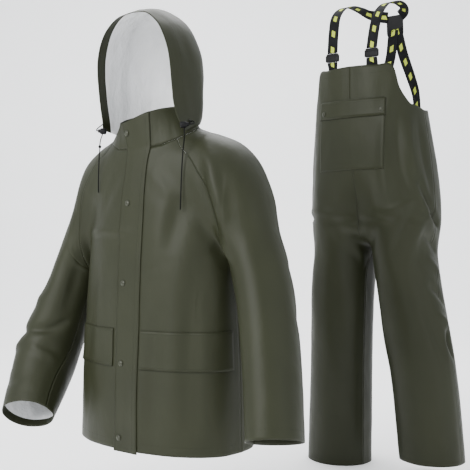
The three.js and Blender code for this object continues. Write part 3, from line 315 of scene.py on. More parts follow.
def sleeveGrid(side):
    # rounds of rays from the cuff to the underarm, then the raglan cap up to the neck
    s = sleeveSettings[side]
    table = s["table"]
    mirror = np.array([side, 1, 1.0])

    def seamPoint(stations, places):
        rays = flipped(raysUp(stations, places), side)
        return cast(jacketField, rays[:, :3], rays[:, 3:]) * mirror

    under = seamPoint(frontRaglan, [0.0])[0]
    clearAt, _, clearIn = limbFrame(table, np.array(s["clear"]))
    clearPoint = cast(jacketField, clearAt * mirror, clearIn * mirror) * mirror
    places = np.linspace(6.9, s["under"], 13)
    at, back, inner = limbFrame(table, places)
    t = np.clip((s["clear"] - places) / (s["clear"] - s["under"]), 0, 1)[:, None]
    bent = unit(clearPoint * (1 - t) + under * t - at)
    towards = np.where(t > 0, bent, inner)
    aims = [towards, -back, -inner, back, towards]
    rings = raysAcross([np.concatenate([at, aim], -1) for aim in aims], (4, 4, 4, 4))
    startAt, startBack, startIn = at[-1], back[-1], inner[-1]
    middles = np.concatenate([[np.concatenate([[5.0], startAt])], capMiddle])
    rows = capRows[:-1]
    start = curveAt(middles[:, 0], middles[:, 1:], rows)
    share = ((rows - 5) / 5)[:, None]
    front = unit(seamPoint(frontRaglan, rows - 5) - start)
    backAim = unit(seamPoint(backRaglan, rows - 5) - start)
    outer = swing(np.broadcast_to(-startIn, front.shape), np.broadcast_to([0.75, 0, 0.66], front.shape),
                  np.minimum(1, share * 1.6))
    spread = np.minimum(1, share * 2.2)
    frontMid = swing(np.broadcast_to(-startBack, front.shape), swing(front, outer, 0.5), spread)
    backMid = swing(np.broadcast_to(startBack, front.shape), swing(backAim, outer, 0.5), spread)
    aims = [front, frontMid, outer, backMid, backAim]
    cap = raysAcross([np.concatenate([start, aim], -1) for aim in aims], (4, 4, 4, 4))
    neck = raysAcross([neckRays(turn) for turn in (64, 77, 90, 103, 116)], (4, 4, 4, 4))
    grid = gridOn(jacketField, flipped(np.concatenate([rings, cap, neck]), side))
    ease = np.array([0, 0.4, 0.3, 0.15] + [0] * 9 + [0.15, 0.3, 0.4, 0])[:, None]
    grid[12] = grid[12] * (1 - ease) + grid[11] * ease
    inside = np.array([105 * side, -15, -60.0])
    between = (capRows[-2] - capRows[-3]) / (capRows[-1] - capRows[-3])
    target = grid[-3, 1:-1] * (1 - between) + grid[-1, 1:-1] * between
    grid[-2, 1:-1] = cast(jacketField, inside, target - inside)
    return grid


# Bib overalls form
bibBody = np.array([  # height over the hem, half width, front depth, back depth, middle x and y
    (640, 208, 146, 160, 12, 0), (800, 212, 148, 162, 10, 0), (900, 214, 150, 166, 6, 0),
    (1000, 214, 151, 160, 2, 0), (1100, 203, 149, 148, -3, 0), (1200, 190, 147, 140, -6, 0),
    (1370, 178, 144, 134, -8, 0)], float)
leftLeg = np.array([(98, 6, 900, 136, 108), (113, 4, 740, 134, 100), (142, 0, 560, 116, 102),
                    (188, -8, 330, 108, 106), (222, -14, 46, 98, 106)], float)
rightLeg = np.array([(86, 6, 900, 136, 108), (100, 4, 740, 134, 100), (116, 0, 560, 116, 106),
                     (122, 0, 330, 110, 107), (128, 0, -8, 104, 112)], float)
bibSettings = {"crotch": 741.0, "edgeLeft": 112.0, "edgeRight": -128.0}
trunkField = ovalField(bibBody, 2.4)
leftLegField = limbField(leftLeg, 1, 14)
rightLegField = limbField(rightLeg, -1, 14)


def bibField(p):
    # the trunk cut off under the crotch with a rounded edge, blended with both legs
    trunk = -blended(-trunkField(p), p[..., 2] - (bibSettings["crotch"] + 25), 50)
    return blended(trunk, blended(leftLegField(p), rightLegField(p), 10), 50)


legHeights = {1: (46, 190, 380, 560, 660), -1: (-8, 180, 380, 560, 660)}
frontUpper = [  # seam height, seam x, seam tilt, pocket edge, flank and side heights, spread
    (815, 22, -0.35, 815, 815, 815, 0.9), (890, 18, 0, 890, 890, 890, 1), (984, 6, 0, 984, 960, 960, 1),
    (1156, -6, 0, 1156, 1085, 1080, 1), (1215, -8, 0, 1215, 1140, 1130, 1),
    (1326, -10, 0, 1322, 1206, 1182, 1.13)]
backUpper = [
    (815, 8, -0.35, 815, 815, 815, 0.9), (890, 2, 0, 890, 890, 890, 1), (968, 0, 0, 968, 960, 960, 1),
    (1085, -4, 0, 1085, 1085, 1080, 1), (1140, -6, 0, 1140, 1140, 1130, 1),
    (1196, -8, 0, 1196, 1190, 1182, 1)]
bibRows = np.array([0, 0.5, 1, 1.5, 2, 2.5, 3, 3.5, 4, 4.4, 4.7, 5, 5.5, 6, 7, 8, 8.5, 9, 9.5, 10, 10.5, 11])
crotchRow, pocketFoot, flapEdgeRow, flapSeamRow = 11, 15, 17, 19
armholeDip = np.array([0, 0, 0, 0, 32, 28, 9, 3, 0, 0.0])  # below a straight line, by column


def bibGrid(side, face):
    # four columns of rays: inseam and middle seam, pocket edge, side, outseam; a corner at the crotch
    table = (leftLeg if side > 0 else rightLeg)[::-1]
    columns = [[], [], [], []]
    for z in legHeights[side]:
        x, y = curveAt(table[:, 2], table[:, :2], np.array(float(z)))
        aims = ((-0.96 * side, -0.28, 0), (-0.3 * side, face, 0), (0.7 * side, 0.72 * face, 0), (side, 0, 0))
        for column, aim in zip(columns, aims):
            column.append((side * x, y, z) + aim)
    corner = ((8, 0, 806, 0, 0, -1), (80 * side, 0, 735, -0.1 * side, face, 0),
              (104 * side, 0, 745, 0.66 * side, 0.76 * face, 0), (104 * side, 0, 750, side, 0, 0))
    for column, ray in zip(columns, corner):
        column.append(ray)
    edge = bibSettings["edgeLeft"] if side > 0 else bibSettings["edgeRight"]
    for seam, seamX, tilt, edgeZ, flank, sideZ, spread in (frontUpper if face < 0 else backUpper):
        columns[0].append((seamX, 0, seam, 0, face, tilt))
        columns[1].append((edge * spread, 0, edgeZ, 0, face, 0))
        columns[2].append((120 * side, 0, flank, 0.62 * side, 0.78 * face, 0))
        columns[3].append((60 * side, 0, sideZ, side, 0, 0))
    rays = raysAcross([raysUp(column, bibRows, 5) for column in columns], (3, 3, 3))
    if face < 0:
        rays[..., 2] -= np.clip(bibRows - 10, 0, 1)[:, None] * armholeDip
    return gridOn(bibField, rays)


# Folds: each is a soft trough or ridge along a line on the cloth.
# On a trunk the line is given by turn from the front and height, on a limb by place along it and turn.
jacketFolds = [  # where, line, depth in mm with troughs below 0, width in mm
    ("body", ((58, -150), (52, -215), (46, -300)), -7, 26),
    ("body", ((44, -165), (38, -250), (34, -360)), 4, 30),
    ("body", ((66, -300), (62, -420), (60, -560), (58, -780)), -9, 34),
    ("body", ((38, -420), (34, -560), (32, -780)), -5, 24),
    ("body", ((22, -520), (20, -650), (20, -785)), 4, 26),
    ("body", ((-26, -330), (-30, -480), (-30, -640)), -3, 26),
    ("body", ((-48, -300), (-52, -450), (-54, -780)), -5, 30),
    ("body", ((-20, -90), (-34, -140), (-52, -220)), -3, 22),
    ("body", ((26, -90), (40, -120), (52, -170)), 3, 18),
    ("body", ((82, -330), (86, -480), (88, -700)), 5, 34),
    ("body", ((-84, -330), (-86, -520), (-88, -780)), 5, 34),
    ("body", ((126, -260), (132, -360), (138, -500)), -7, 30),
    ("body", ((150, -300), (156, -460), (158, -780)), 5, 34),
    ("body", ((-126, -260), (-134, -380), (-138, -520)), -6, 32),
    ("body", ((-158, -260), (-160, -480), (-162, -780)), -5, 32),
    ("body", ((176, -420), (180, -600), (182, -785)), -5, 30),
    ("body", ((112, -520), (116, -640), (118, -785)), -5, 30),
    ("left", ((1.5, 34), (2.2, 14), (3.1, 2), (4.2, -8)), 8, 17),
    ("left", ((2.0, 2), (2.6, -12), (3.3, -22), (4.0, -30)), -9, 15),
    ("left", ((2.6, 24), (3.3, 24), (4.4, 26)), -3, 24),
    ("left", ((3.8, -40), (4.1, -28), (4.5, -20)), 6, 10),
    ("left", ((4.0, -60), (4.3, -46), (4.8, -38)), -7, 11),
    ("left", ((4.3, -78), (4.7, -62), (5.3, -50)), 4, 12),
    ("left", ((4.2, 40), (5.2, 48), (6.4, 52)), -2.5, 30),
    ("left", ((4.8, -20), (5.6, -24), (6.8, -26)), 3, 26),
    ("left", ((4.7, 128), (5.0, 150), (5.2, 175)), -5, 18),
    ("left", ((5.2, 110), (5.5, 140), (5.6, 170)), -4, 16),
    ("left", ((2.6, 140), (3.2, 152), (4.2, 160)), -6, 20),
    ("left", ((5.6, -80), (6.2, -70), (6.8, -66)), -3, 20),
    ("right", ((2.6, -30), (3.2, -20), (4.2, -8)), -5, 22),
    ("right", ((2.7, -60), (3.3, -46), (4.0, -36)), 6, 14),
    ("right", ((3.4, 30), (4.4, 34), (5.2, 30)), 3, 30),
    ("right", ((5.62, 84), (5.75, 60), (5.85, 32), (5.8, 4)), -8, 11),
    ("right", ((5.85, 84), (6.0, 60), (6.05, 34), (6.0, 6)), 6, 14),
    ("right", ((5.8, 4), (5.7, -30), (5.5, -60)), -10, 12),
    ("right", ((6.15, 80), (6.3, 58), (6.35, 30)), -5, 12),
    ("right", ((6.05, -10), (6.15, -40), (6.2, -70)), 5, 13),
    ("right", ((5.3, 60), (5.4, 30), (5.35, 0)), 4, 18),
    ("right", ((6.5, 40), (6.6, 10), (6.6, -30)), -3, 14),
    ("right", ((4.4, -30), (5.0, -40), (5.5, -50)), -5, 18),
    ("right", ((5.5, 130), (5.7, 160), (5.8, 200)), -6, 16),
    ("right", ((4.0, 140), (4.6, 150), (5.4, 156)), -4, 22),
    ("right", ((2.7, 150), (3.3, 160), (4.2, 168)), -6, 20),
]
bibFolds = [
    ("trunk", ((44, 1195), (40, 1120), (38, 1000), (40, 900)), 5, 18),
    ("trunk", ((54, 1190), (52, 1090), (54, 980), (62, 880)), -6, 17),
    ("trunk", ((66, 1170), (64, 1060), (68, 960)), 5, 16),
    ("trunk", ((78, 1150), (78, 1040), (84, 900)), -5, 18),
    ("trunk", ((60, 960), (74, 860), (88, 790)), 7, 16),
    ("trunk", ((70, 940), (84, 850), (98, 800)), -9, 13),
    ("trunk", ((6, 960), (8, 880), (10, 800)), -2.5, 20),
    ("trunk", ((-30, 960), (-26, 860), (-20, 780)), -3, 28),
    ("trunk", ((-66, 1150), (-64, 1000), (-62, 860)), -4, 26),
    ("trunk", ((24, 960), (28, 880), (34, 790)), 3, 24),
    ("trunk", ((140, 1180), (136, 1040), (132, 900)), -6, 24),
    ("trunk", ((166, 1100), (160, 960), (150, 840)), 5, 24),
    ("trunk", ((-140, 1160), (-136, 1020), (-130, 880)), -6, 26),
    ("trunk", ((-168, 1060), (-160, 920), (-150, 820)), 4, 26),
    ("left", ((1.05, 70), (1.5, 56), (2.2, 40)), -5, 20),
    ("left", ((1.1, 100), (1.3, 90), (1.5, 96)), -9, 12),
    ("left", ((1.45, 104), (1.6, 88), (1.7, 70)), 6, 13),
    ("left", ((1.8, 108), (2.0, 88), (2.2, 60)), -6, 14),
    ("left", ((2.3, 108), (2.5, 88), (2.7, 64)), 5, 15),
    ("left", ((2.75, 104), (2.95, 84), (3.1, 60)), -6, 14),
    ("left", ((2.5, 30), (3.1, 44), (3.7, 72)), 5, 18),
    ("left", ((2.8, 10), (3.3, 30), (3.9, 52)), -5, 16),
    ("left", ((3.3, 100), (3.5, 80), (3.6, 50)), -5, 13),
    ("left", ((3.6, 0), (3.75, 30), (3.85, 60)), 3, 12),
    ("left", ((2.9, -50), (3.1, -20), (3.5, 0)), -4, 18),
    ("left", ((1.2, -60), (1.7, -40), (2.4, -30)), 4, 20),
    ("left", ((1.6, 150), (2.4, 156), (3.4, 150)), -6, 26),
    ("left", ((3.2, 130), (3.4, 160), (3.5, 200)), -5, 15),
    ("right", ((1.1, -30), (1.8, -20), (2.6, -14)), -3, 26),
    ("right", ((3.05, 100), (3.2, 74), (3.3, 50)), -7, 11),
    ("right", ((3.2, 104), (3.34, 80), (3.42, 56)), 5, 10),
    ("right", ((3.4, 96), (3.48, 66), (3.46, 30)), -5, 12),
    ("right", ((3.42, 0), (3.52, -30), (3.56, -56)), -5, 12),
    ("right", ((3.6, 60), (3.66, 20), (3.62, -20)), 3, 13),
    ("right", ((2.6, -66), (2.9, -50), (3.1, -20)), 4, 15),
    ("right", ((3.6, -80), (3.7, -60), (3.72, -40)), -3, 12),
    ("right", ((1.4, 30), (2.2, 34), (3.0, 30)), 3, 30),
    ("right", ((1.6, 150), (2.4, 156), (3.2, 150)), -6, 26),
    ("right", ((3.2, 130), (3.36, 160), (3.4, 200)), -5, 15),
]


def foldLines(folds, field, limbs, trunkAxis, stress=1.0):
    # each line sampled at 13 places and carried out to the form from the trunk's or the limb's middle
    lines = []
    for where, line, depth, width in folds:
        line = np.array(line, float)
        steps = curveAt(np.arange(len(line)), line, np.linspace(0, len(line) - 1, 13))
        angle = np.radians(steps[:, 1] if where in limbs else steps[:, 0])
        if where in limbs:
            table, side = limbs[where]
            at, back, inner = limbFrame(table, steps[:, 0])
            aim = -back * np.cos(angle)[:, None] - inner * np.sin(angle)[:, None]
            mirror = np.array([side, 1, 1.0])
            points = cast(field, at * mirror, aim * mirror)
        else:
            zero = 0 * angle
            start = np.stack([zero + trunkAxis[0], zero + trunkAxis[1], steps[:, 1]], -1)
            points = cast(field, start, np.stack([np.sin(angle), -np.cos(angle), zero], -1))
        lines.append((points, depth * stress, width))
    return lines


def foldDepth(points, lines):
    # sum of depth times exp(-(distance / width) squared), fading to nothing at both ends of a line
    flat = points.reshape(-1, 3)
    total = np.zeros(len(flat))
    for line, depth, width in lines:
        near = np.all((flat > line.min(0) - 2.4 * width) & (flat < line.max(0) + 2.4 * width), axis=-1)
        if not near.any():
            continue
        p = flat[near]
        best = np.full(len(p), 1e9)
        share = np.zeros(len(p))
        for i in range(len(line) - 1):
            along = line[i + 1] - line[i]
            t = np.clip((p - line[i]) @ along / (along @ along + 1e-9), 0, 1)
            away = ((p - line[i] - t[:, None] * along) ** 2).sum(-1)
            closer = away < best
            best = np.where(closer, away, best)
            share = np.where(closer, (i + t) / (len(line) - 1), share)
        fade = np.sin(np.pi * np.clip(share * 0.94 + 0.03, 0, 1)) ** 0.7
        total[near] += depth * fade * np.exp(-best / width ** 2)
    return total.reshape(points.shape[:-1])


def waves(seed, count, shortest, longest, upright):
    # directions, lengths and phases of soft waves; a high upright value makes them run up and down
    rng = np.random.default_rng(seed)
    ways = rng.normal(size=(count, 3))
    ways[:, 2] /= upright
    lengths = rng.uniform(shortest, longest, count)
    return unit(ways) * (2 * np.pi / lengths)[:, None], rng.uniform(0, 2 * np.pi, count)


drapeWaves = waves(11, 9, 90, 190, 4.0)
softWaves = waves(12, 14, 34, 80, 1.4)


def unevenness(points, drape, soft):
    # mean of slow upright waves and of shorter waves in every direction
    slow = np.sin(points @ drapeWaves[0].T + drapeWaves[1]).mean(-1)
    short = np.sin(points @ softWaves[0].T + softWaves[1]).mean(-1)
    return drape * slow + soft * short


def finer(grid, rowPlaces, rowStep, columnStep, corner=None, rows=None):
    # the grid read at closer rows and columns; past a corner row the edge columns keep their corner
    rowGaps = np.linalg.norm(np.diff(grid, axis=0), axis=-1).mean(1)
    columnGaps = np.linalg.norm(np.diff(grid, axis=1), axis=-1).mean(0)
    if rows is None:
        rows = np.concatenate([[0]] + [i + np.arange(1, n + 1) / n for i, n in
                                       enumerate(np.ceil(rowGaps / rowStep).astype(int))])
    columns = np.concatenate([[0]] + [i + np.arange(1, n + 1) / n for i, n in
                                      enumerate(np.ceil(columnGaps / columnStep).astype(int))])
    at = np.interp(rows, np.arange(len(grid)), rowPlaces)
    smooth = curveAt(rowPlaces, grid, at)
    if corner is not None:
        split = int(np.argmin(np.abs(rowPlaces - rowPlaces[corner])))
        low = curveAt(rowPlaces[:split + 1], grid[:split + 1], at)
        high = curveAt(rowPlaces[split:], grid[split:], at)
        cornered = np.where((at <= rowPlaces[split])[:, None, None], low, high)
        edge = np.arange(grid.shape[1])
        fromEdge = np.minimum(edge, grid.shape[1] - 1 - edge)
        share = np.clip(1 - fromEdge / 2, 0, 1)[None, :, None]
        smooth = smooth * (1 - share) + cornered * share
    places = np.concatenate([[0], np.cumsum(columnGaps)])
    across = np.interp(columns, np.arange(grid.shape[1]), places)
    return np.moveaxis(curveAt(places, np.moveaxis(smooth, 1, 0), across), 0, 1), rows, columns


def gridOut(grid, guide):
    # cross product of the grid's own directions, turned to the guide's side
    out = unit(np.cross(np.gradient(grid, axis=1), np.gradient(grid, axis=0)))
    return np.where((out * guide).sum(-1, keepdims=True) < 0, -out, out)


print("rain suit: forms ready")


# Finishes
def newFinish(name):
    finish = bpy.data.materials.new(name)
    finish.use_nodes = True
    nodes = finish.node_tree.nodes
    return finish, nodes, finish.node_tree.links, nodes["Principled BSDF"]


def bumpFrom(nodes, links, shader, height, strength, distance, below=None):
    # a bump node on the shader's normal, over another bump where one is given
    bump = nodes.new("ShaderNodeBump")
    bump.inputs["Strength"].default_value = strength
    bump.inputs["Distance"].default_value = distance
    links.new(height, bump.inputs["Height"])
    if below is not None:
        links.new(below.outputs["Normal"], bump.inputs["Normal"])
    links.new(bump.outputs["Normal"], shader.inputs["Normal"])
    return bump


def objectNoise(nodes, links, scale, detail, stretch=(1, 1, 1)):
    # noise over the object's own coordinates, stretched along its axes
    where = nodes.new("ShaderNodeTexCoord")
    mapping = nodes.new("ShaderNodeMapping")
    mapping.inputs["Scale"].default_value = stretch
    noise = nodes.new("ShaderNodeTexNoise")
    noise.inputs["Scale"].default_value = scale
    noise.inputs["Detail"].default_value = detail
    links.new(where.outputs["Object"], mapping.inputs["Vector"])
    links.new(mapping.outputs["Vector"], noise.inputs["Vector"])
    return noise


def colourBetween(nodes, links, shader, factor, dark, light, low=0.3, high=0.7):
    # a ramp from the dark colour to the light one over the factor
    ramp = nodes.new("ShaderNodeValToRGB")
    ramp.color_ramp.elements[0].position = low
    ramp.color_ramp.elements[1].position = high
    ramp.color_ramp.elements[0].color = dark + (1,)
    ramp.color_ramp.elements[1].color = light + (1,)
    links.new(factor, ramp.inputs["Fac"])
    links.new(ramp.outputs["Color"], shader.inputs["Base Color"])
    return ramp


clothSettings = {"dark": (0.0146, 0.0162, 0.0072), "light": (0.0178, 0.0197, 0.0090), "roughness": 0.5,
                 "gloss": 0.17, "grain": 1500.0, "crumple": 22.0}


def coatedCloth():
    # satin coating: slow tone change, fine pebble grain and shallow crumples
    s = clothSettings
    finish, nodes, links, shader = newFinish("coatedOliveCloth")
    tone = objectNoise(nodes, links, 6.0, 3.0)
    colourBetween(nodes, links, shader, tone.outputs["Fac"], s["dark"], s["light"])
    shader.inputs["Roughness"].default_value = s["roughness"]
    shader.inputs["Specular IOR Level"].default_value = s["gloss"]
    crumple = objectNoise(nodes, links, s["crumple"], 3.0, (1, 1, 0.55))
    under = bumpFrom(nodes, links, shader, crumple.outputs["Fac"], 0.28, 0.006)
    grain = objectNoise(nodes, links, s["grain"], 2.0)
    bumpFrom(nodes, links, shader, grain.outputs["Fac"], 0.12, 0.0002, under)
    return finish


def knitBacking():
    # pale knit: fine ribs over soft creases and slow wrinkles
    finish, nodes, links, shader = newFinish("paleKnitBacking")
    tone = objectNoise(nodes, links, 9.0, 4.0)
    colourBetween(nodes, links, shader, tone.outputs["Fac"], (0.66, 0.665, 0.67), (0.80, 0.805, 0.81))
    shader.inputs["Roughness"].default_value = 0.9
    crease = objectNoise(nodes, links, 26.0, 4.0, (1, 1, 0.5))
    wrinkle = objectNoise(nodes, links, 9.0, 2.0, (1, 1, 0.45))
    slow = bumpFrom(nodes, links, shader, wrinkle.outputs["Fac"], 0.8, 0.05)
    under = bumpFrom(nodes, links, shader, crease.outputs["Fac"], 0.7, 0.016, slow)
    where = nodes.new("ShaderNodeTexCoord")
    rib = nodes.new("ShaderNodeTexWave")
    rib.inputs["Scale"].default_value = 260.0
    rib.inputs["Distortion"].default_value = 0.6
    links.new(where.outputs["Object"], rib.inputs["Vector"])
    bumpFrom(nodes, links, shader, rib.outputs["Fac"], 0.18, 0.0004, under)
    return finish


def blackWebbing():
    # woven band on its own UV: a fine turned checker for the weave, slanted plain dashes along the middle
    finish, nodes, links, shader = newFinish("blackWebbing")
    where = nodes.new("ShaderNodeUVMap")
    where.uv_map = "band"
    weave = nodes.new("ShaderNodeTexChecker")
    weave.inputs["Scale"].default_value = 1.0
    mapping = nodes.new("ShaderNodeMapping")
    mapping.inputs["Rotation"].default_value = (0, 0, math.radians(38))
    mapping.inputs["Scale"].default_value = (900, 900, 1)
    links.new(where.outputs["UV"], mapping.inputs["Vector"])
    links.new(mapping.outputs["Vector"], weave.inputs["Vector"])
    tone = objectNoise(nodes, links, 40.0, 3.0)
    ramp = colourBetween(nodes, links, shader, tone.outputs["Fac"], (0.004, 0.0042, 0.0045),
                         (0.008, 0.0084, 0.009))
    shader.inputs["Roughness"].default_value = 0.8
    shader.inputs["Specular IOR Level"].default_value = 0.1
    split = nodes.new("ShaderNodeSeparateXYZ")
    links.new(where.outputs["UV"], split.inputs["Vector"])

    def worked(operation, first, second):
        # the result of one Math node on two values or sockets
        node = nodes.new("ShaderNodeMath")
        node.operation = operation
        for socket, value in zip(node.inputs, (first, second)):
            if isinstance(value, float):
                socket.default_value = value
            else:
                links.new(value, socket)
        return node.outputs["Value"]

    slant = worked("ADD", split.outputs["Y"], worked("MULTIPLY", split.outputs["X"], 0.5))
    along = worked("LESS_THAN", worked("FRACT", worked("MULTIPLY", slant, 18.0), 0.0), 0.38)
    across = worked("LESS_THAN", worked("ABSOLUTE", split.outputs["X"], 0.0), 0.0065)
    dash = worked("MULTIPLY", along, across)
    mix = nodes.new("ShaderNodeMix")
    mix.data_type = "RGBA"
    links.new(dash, mix.inputs["Factor"])
    links.new(ramp.outputs["Color"], mix.inputs["A"])
    mix.inputs["B"].default_value = (0.36, 0.42, 0.05, 1)
    links.new(mix.outputs["Result"], shader.inputs["Base Color"])
    bumpFrom(nodes, links, shader, weave.outputs["Fac"], 0.35, 0.0005)
    return finish


def plainFinish(name, dark, light, roughness, metallic, scale, strength, gloss=0.5):
    # moulded or turned surface with a faint uneven tone and a fine grain
    finish, nodes, links, shader = newFinish(name)
    tone = objectNoise(nodes, links, scale, 3.0)
    colourBetween(nodes, links, shader, tone.outputs["Fac"], dark, light)
    shader.inputs["Roughness"].default_value = roughness
    shader.inputs["Metallic"].default_value = metallic
    shader.inputs["Specular IOR Level"].default_value = gloss
    grain = objectNoise(nodes, links, scale * 12, 2.0)
    bumpFrom(nodes, links, shader, grain.outputs["Fac"], strength, 0.0002)
    return finish


def braidedCord():
    # braid on the cord's own UV: a fine checker turned by half a right angle
    finish, nodes, links, shader = newFinish("blackBraidedCord")
    where = nodes.new("ShaderNodeUVMap")
    where.uv_map = "band"
    mapping = nodes.new("ShaderNodeMapping")
    mapping.inputs["Rotation"].default_value = (0, 0, math.radians(45))
    mapping.inputs["Scale"].default_value = (1100, 1100, 1)
    braid = nodes.new("ShaderNodeTexChecker")
    braid.inputs["Scale"].default_value = 1.0
    links.new(where.outputs["UV"], mapping.inputs["Vector"])
    links.new(mapping.outputs["Vector"], braid.inputs["Vector"])
    tone = objectNoise(nodes, links, 60.0, 2.0)
    colourBetween(nodes, links, shader, tone.outputs["Fac"], (0.003, 0.0032, 0.003), (0.007, 0.0074, 0.007))
    shader.inputs["Roughness"].default_value = 0.8
    shader.inputs["Specular IOR Level"].default_value = 0.05
    bumpFrom(nodes, links, shader, braid.outputs["Fac"], 0.4, 0.0005)
    return finish


oliveFinish = coatedCloth()
backingFinish = knitBacking()
webFinish = blackWebbing()
plasticFinish = plainFinish("blackMouldedPlastic", (0.003, 0.003, 0.0033), (0.005, 0.005, 0.0055),
                            0.5, 0.0, 60, 0.12, 0.14)
snapFinish = plainFinish("paintedSnapCap", (0.020, 0.022, 0.012), (0.026, 0.028, 0.016),
                         0.36, 0.1, 90, 0.08, 0.3)
eyeletFinish = plainFinish("darkEyeletMetal", (0.008, 0.009, 0.006), (0.014, 0.015, 0.011),
                           0.45, 0.6, 120, 0.1, 0.2)
threadFinish = plainFinish("oliveThread", (0.010, 0.0112, 0.0056), (0.017, 0.0188, 0.0098),
                           0.7, 0.0, 400, 0.3, 0.1)
cordFinish = braidedCord()


# Meshes
def newPiece(name, points, quads, finishes, slots=None, flat=None, merged=False):
    # points in metres, faces as rows of four corners, the repeated corner of a triangle dropped;
    # where merged, points that coincide become one and the faces are turned outwards
    mesh = bpy.data.meshes.new(name)
    mesh.from_pydata(points.tolist(), [], [list(dict.fromkeys(q)) for q in quads.tolist()])
    for finish in finishes:
        mesh.materials.append(finish)
    if slots is not None:
        mesh.polygons.foreach_set("material_index", slots.astype(np.int32))
    if merged:
        work = bmesh.new()
        work.from_mesh(mesh)
        bmesh.ops.remove_doubles(work, verts=work.verts, dist=1e-6)
        bmesh.ops.recalc_face_normals(work, faces=work.faces)
        work.to_mesh(mesh)
        work.free()
    smooth = np.ones(len(mesh.polygons), bool) if flat is None else ~flat
    mesh.polygons.foreach_set("use_smooth", smooth)
    mesh.update()
    piece = bpy.data.objects.new(name, mesh)
    bpy.context.scene.collection.objects.link(piece)
    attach(piece, "root")
    return piece


def cellQuads(tall, broad, start=0):
    # corner numbers of each cell of a grid, counter-clockwise
    i, j = np.meshgrid(np.arange(tall - 1), np.arange(broad - 1), indexing="ij")
    a = (start + i * broad + j).ravel()
    return np.stack([a, a + 1, a + broad + 1, a + broad], -1)


def clothSheet(name, outer, out, wall, place, facing=None, finishes=None):
    # outer face and a face one wall below it along the outward directions, closed by four rims
    tall, broad = outer.shape[:2]
    inner = outer - out * wall
    points = np.concatenate([outer.reshape(-1, 3), inner.reshape(-1, 3)])
    count = tall * broad
    top = cellQuads(tall, broad)
    low = cellQuads(tall, broad, count)[:, ::-1]
    row = np.arange(broad)
    column = np.arange(tall) * broad

    def rim(line):
        return np.stack([line[:-1], line[:-1] + count, line[1:] + count, line[1:]], -1)

    rims = np.concatenate([rim(row), rim(row + (tall - 1) * broad)[:, ::-1],
                           rim(column)[:, ::-1], rim(column + broad - 1)])
    quads = np.concatenate([top, low, rims])
    middle = (tall // 2, broad // 2)
    a = outer[middle[0], middle[1] + 1] - outer[middle]
    b = outer[middle[0] + 1, middle[1]] - outer[middle]
    if (np.cross(a, b) * out[middle]).sum() < 0:
        quads = quads[:, ::-1]
    slots = np.zeros(len(quads), int)
    inside = np.ones((tall - 1, broad - 1), int)
    if facing is not None:
        inside[facing[:-1, :-1] | facing[1:, 1:]] = 0
    slots[len(top):len(top) + len(low)] = inside.ravel()
    flat = np.zeros(len(quads), bool)
    flat[len(top) + len(low):] = True
    return newPiece(name, placed(points, place), quads, finishes or [oliveFinish, backingFinish], slots, flat)


def insetEdges(grid, trim):
    # the outermost rows and columns drawn in by half the seam gap
    grid = grid.copy()
    grid[:, 0] += unit(grid[:, 1] - grid[:, 0]) * trim
    grid[:, -1] += unit(grid[:, -2] - grid[:, -1]) * trim
    grid[0] += unit(grid[1] - grid[0]) * trim
    grid[-1] += unit(grid[-2] - grid[-1]) * trim
    return grid


def lathe(name, profile, at, out, finish, segments, place):
    # profile of radius and height turned about the direction out, standing on the point at
    profile = np.asarray(profile, float)
    out = unit(np.asarray(out, float))
    side = unit(np.cross(out, [0.3, 0.2, 0.9]))
    other = np.cross(out, side)
    angle = np.linspace(0, 2 * np.pi, segments, endpoint=False)
    around = np.cos(angle)[:, None] * side + np.sin(angle)[:, None] * other
    points = at + profile[:, None, 1:] * out + profile[:, None, :1] * around
    points = points.reshape(-1, 3)
    i, j = np.meshgrid(np.arange(len(profile) - 1), np.arange(segments), indexing="ij")
    a, b = i * segments + j, i * segments + (j + 1) % segments
    quads = np.stack([a, b, b + segments, a + segments], -1).reshape(-1, 4)
    piece = newPiece(name, placed(points, place), quads, [finish], merged=True)
    return piece


def profileAlong(name, path, sides, ups, section, finish, place, uvAcross):
    # closed section of (across, up) carried along the path, its ends closed by a fan to their middles
    tall, broad = len(path), len(section)
    points = path[:, None] + section[None, :, :1] * sides[:, None] + section[None, :, 1:] * ups[:, None]
    ends = np.stack([path[0], path[-1]])
    flatPoints = np.concatenate([points.reshape(-1, 3), ends])
    i, j = np.meshgrid(np.arange(tall - 1), np.arange(broad), indexing="ij")
    a, b = i * broad + j, i * broad + (j + 1) % broad
    quads = np.stack([a, b, b + broad, a + broad], -1).reshape(-1, 4)
    ring = np.arange(broad)
    after = (ring + 1) % broad
    first, last = tall * broad, tall * broad + 1
    top = (tall - 1) * broad
    caps = np.concatenate([np.stack([after, ring, ring * 0 + first, ring * 0 + first], -1),
                           np.stack([ring + top, after + top, ring * 0 + last, ring * 0 + last], -1)])
    faces = np.concatenate([quads, caps])
    middle = points.mean(1)
    normal = np.cross(points[1, 1] - points[1, 0], points[2, 0] - points[1, 0])
    if (normal * (points[1, 0] - middle[1])).sum() < 0:
        faces = faces[:, ::-1]
    length = np.concatenate([[0], np.cumsum(np.linalg.norm(np.diff(path, axis=0), axis=-1))]) * 0.001
    uv = np.stack([np.tile(uvAcross * 0.001, tall), np.repeat(length, broad)], -1)
    uv = np.concatenate([uv, [[0, 0], [0, length[-1]]]])
    piece = newPiece(name, placed(flatPoints, place), faces, [finish])
    layer = piece.data.uv_layers.new(name="band")
    corners = np.zeros(len(piece.data.loops), np.int32)
    piece.data.loops.foreach_get("vertex_index", corners)
    layer.data.foreach_set("uv", uv[corners].astype(np.float32).ravel())
    return piece


def smoothPath(points, step):
    # cubic through the given points by the distance along them, cut at even steps
    points = np.asarray(points, float)
    along = np.concatenate([[0], np.cumsum(np.linalg.norm(np.diff(points, axis=0), axis=-1))])
    return curveAt(along, points, np.linspace(0, along[-1], int(np.ceil(along[-1] / step)) + 1))


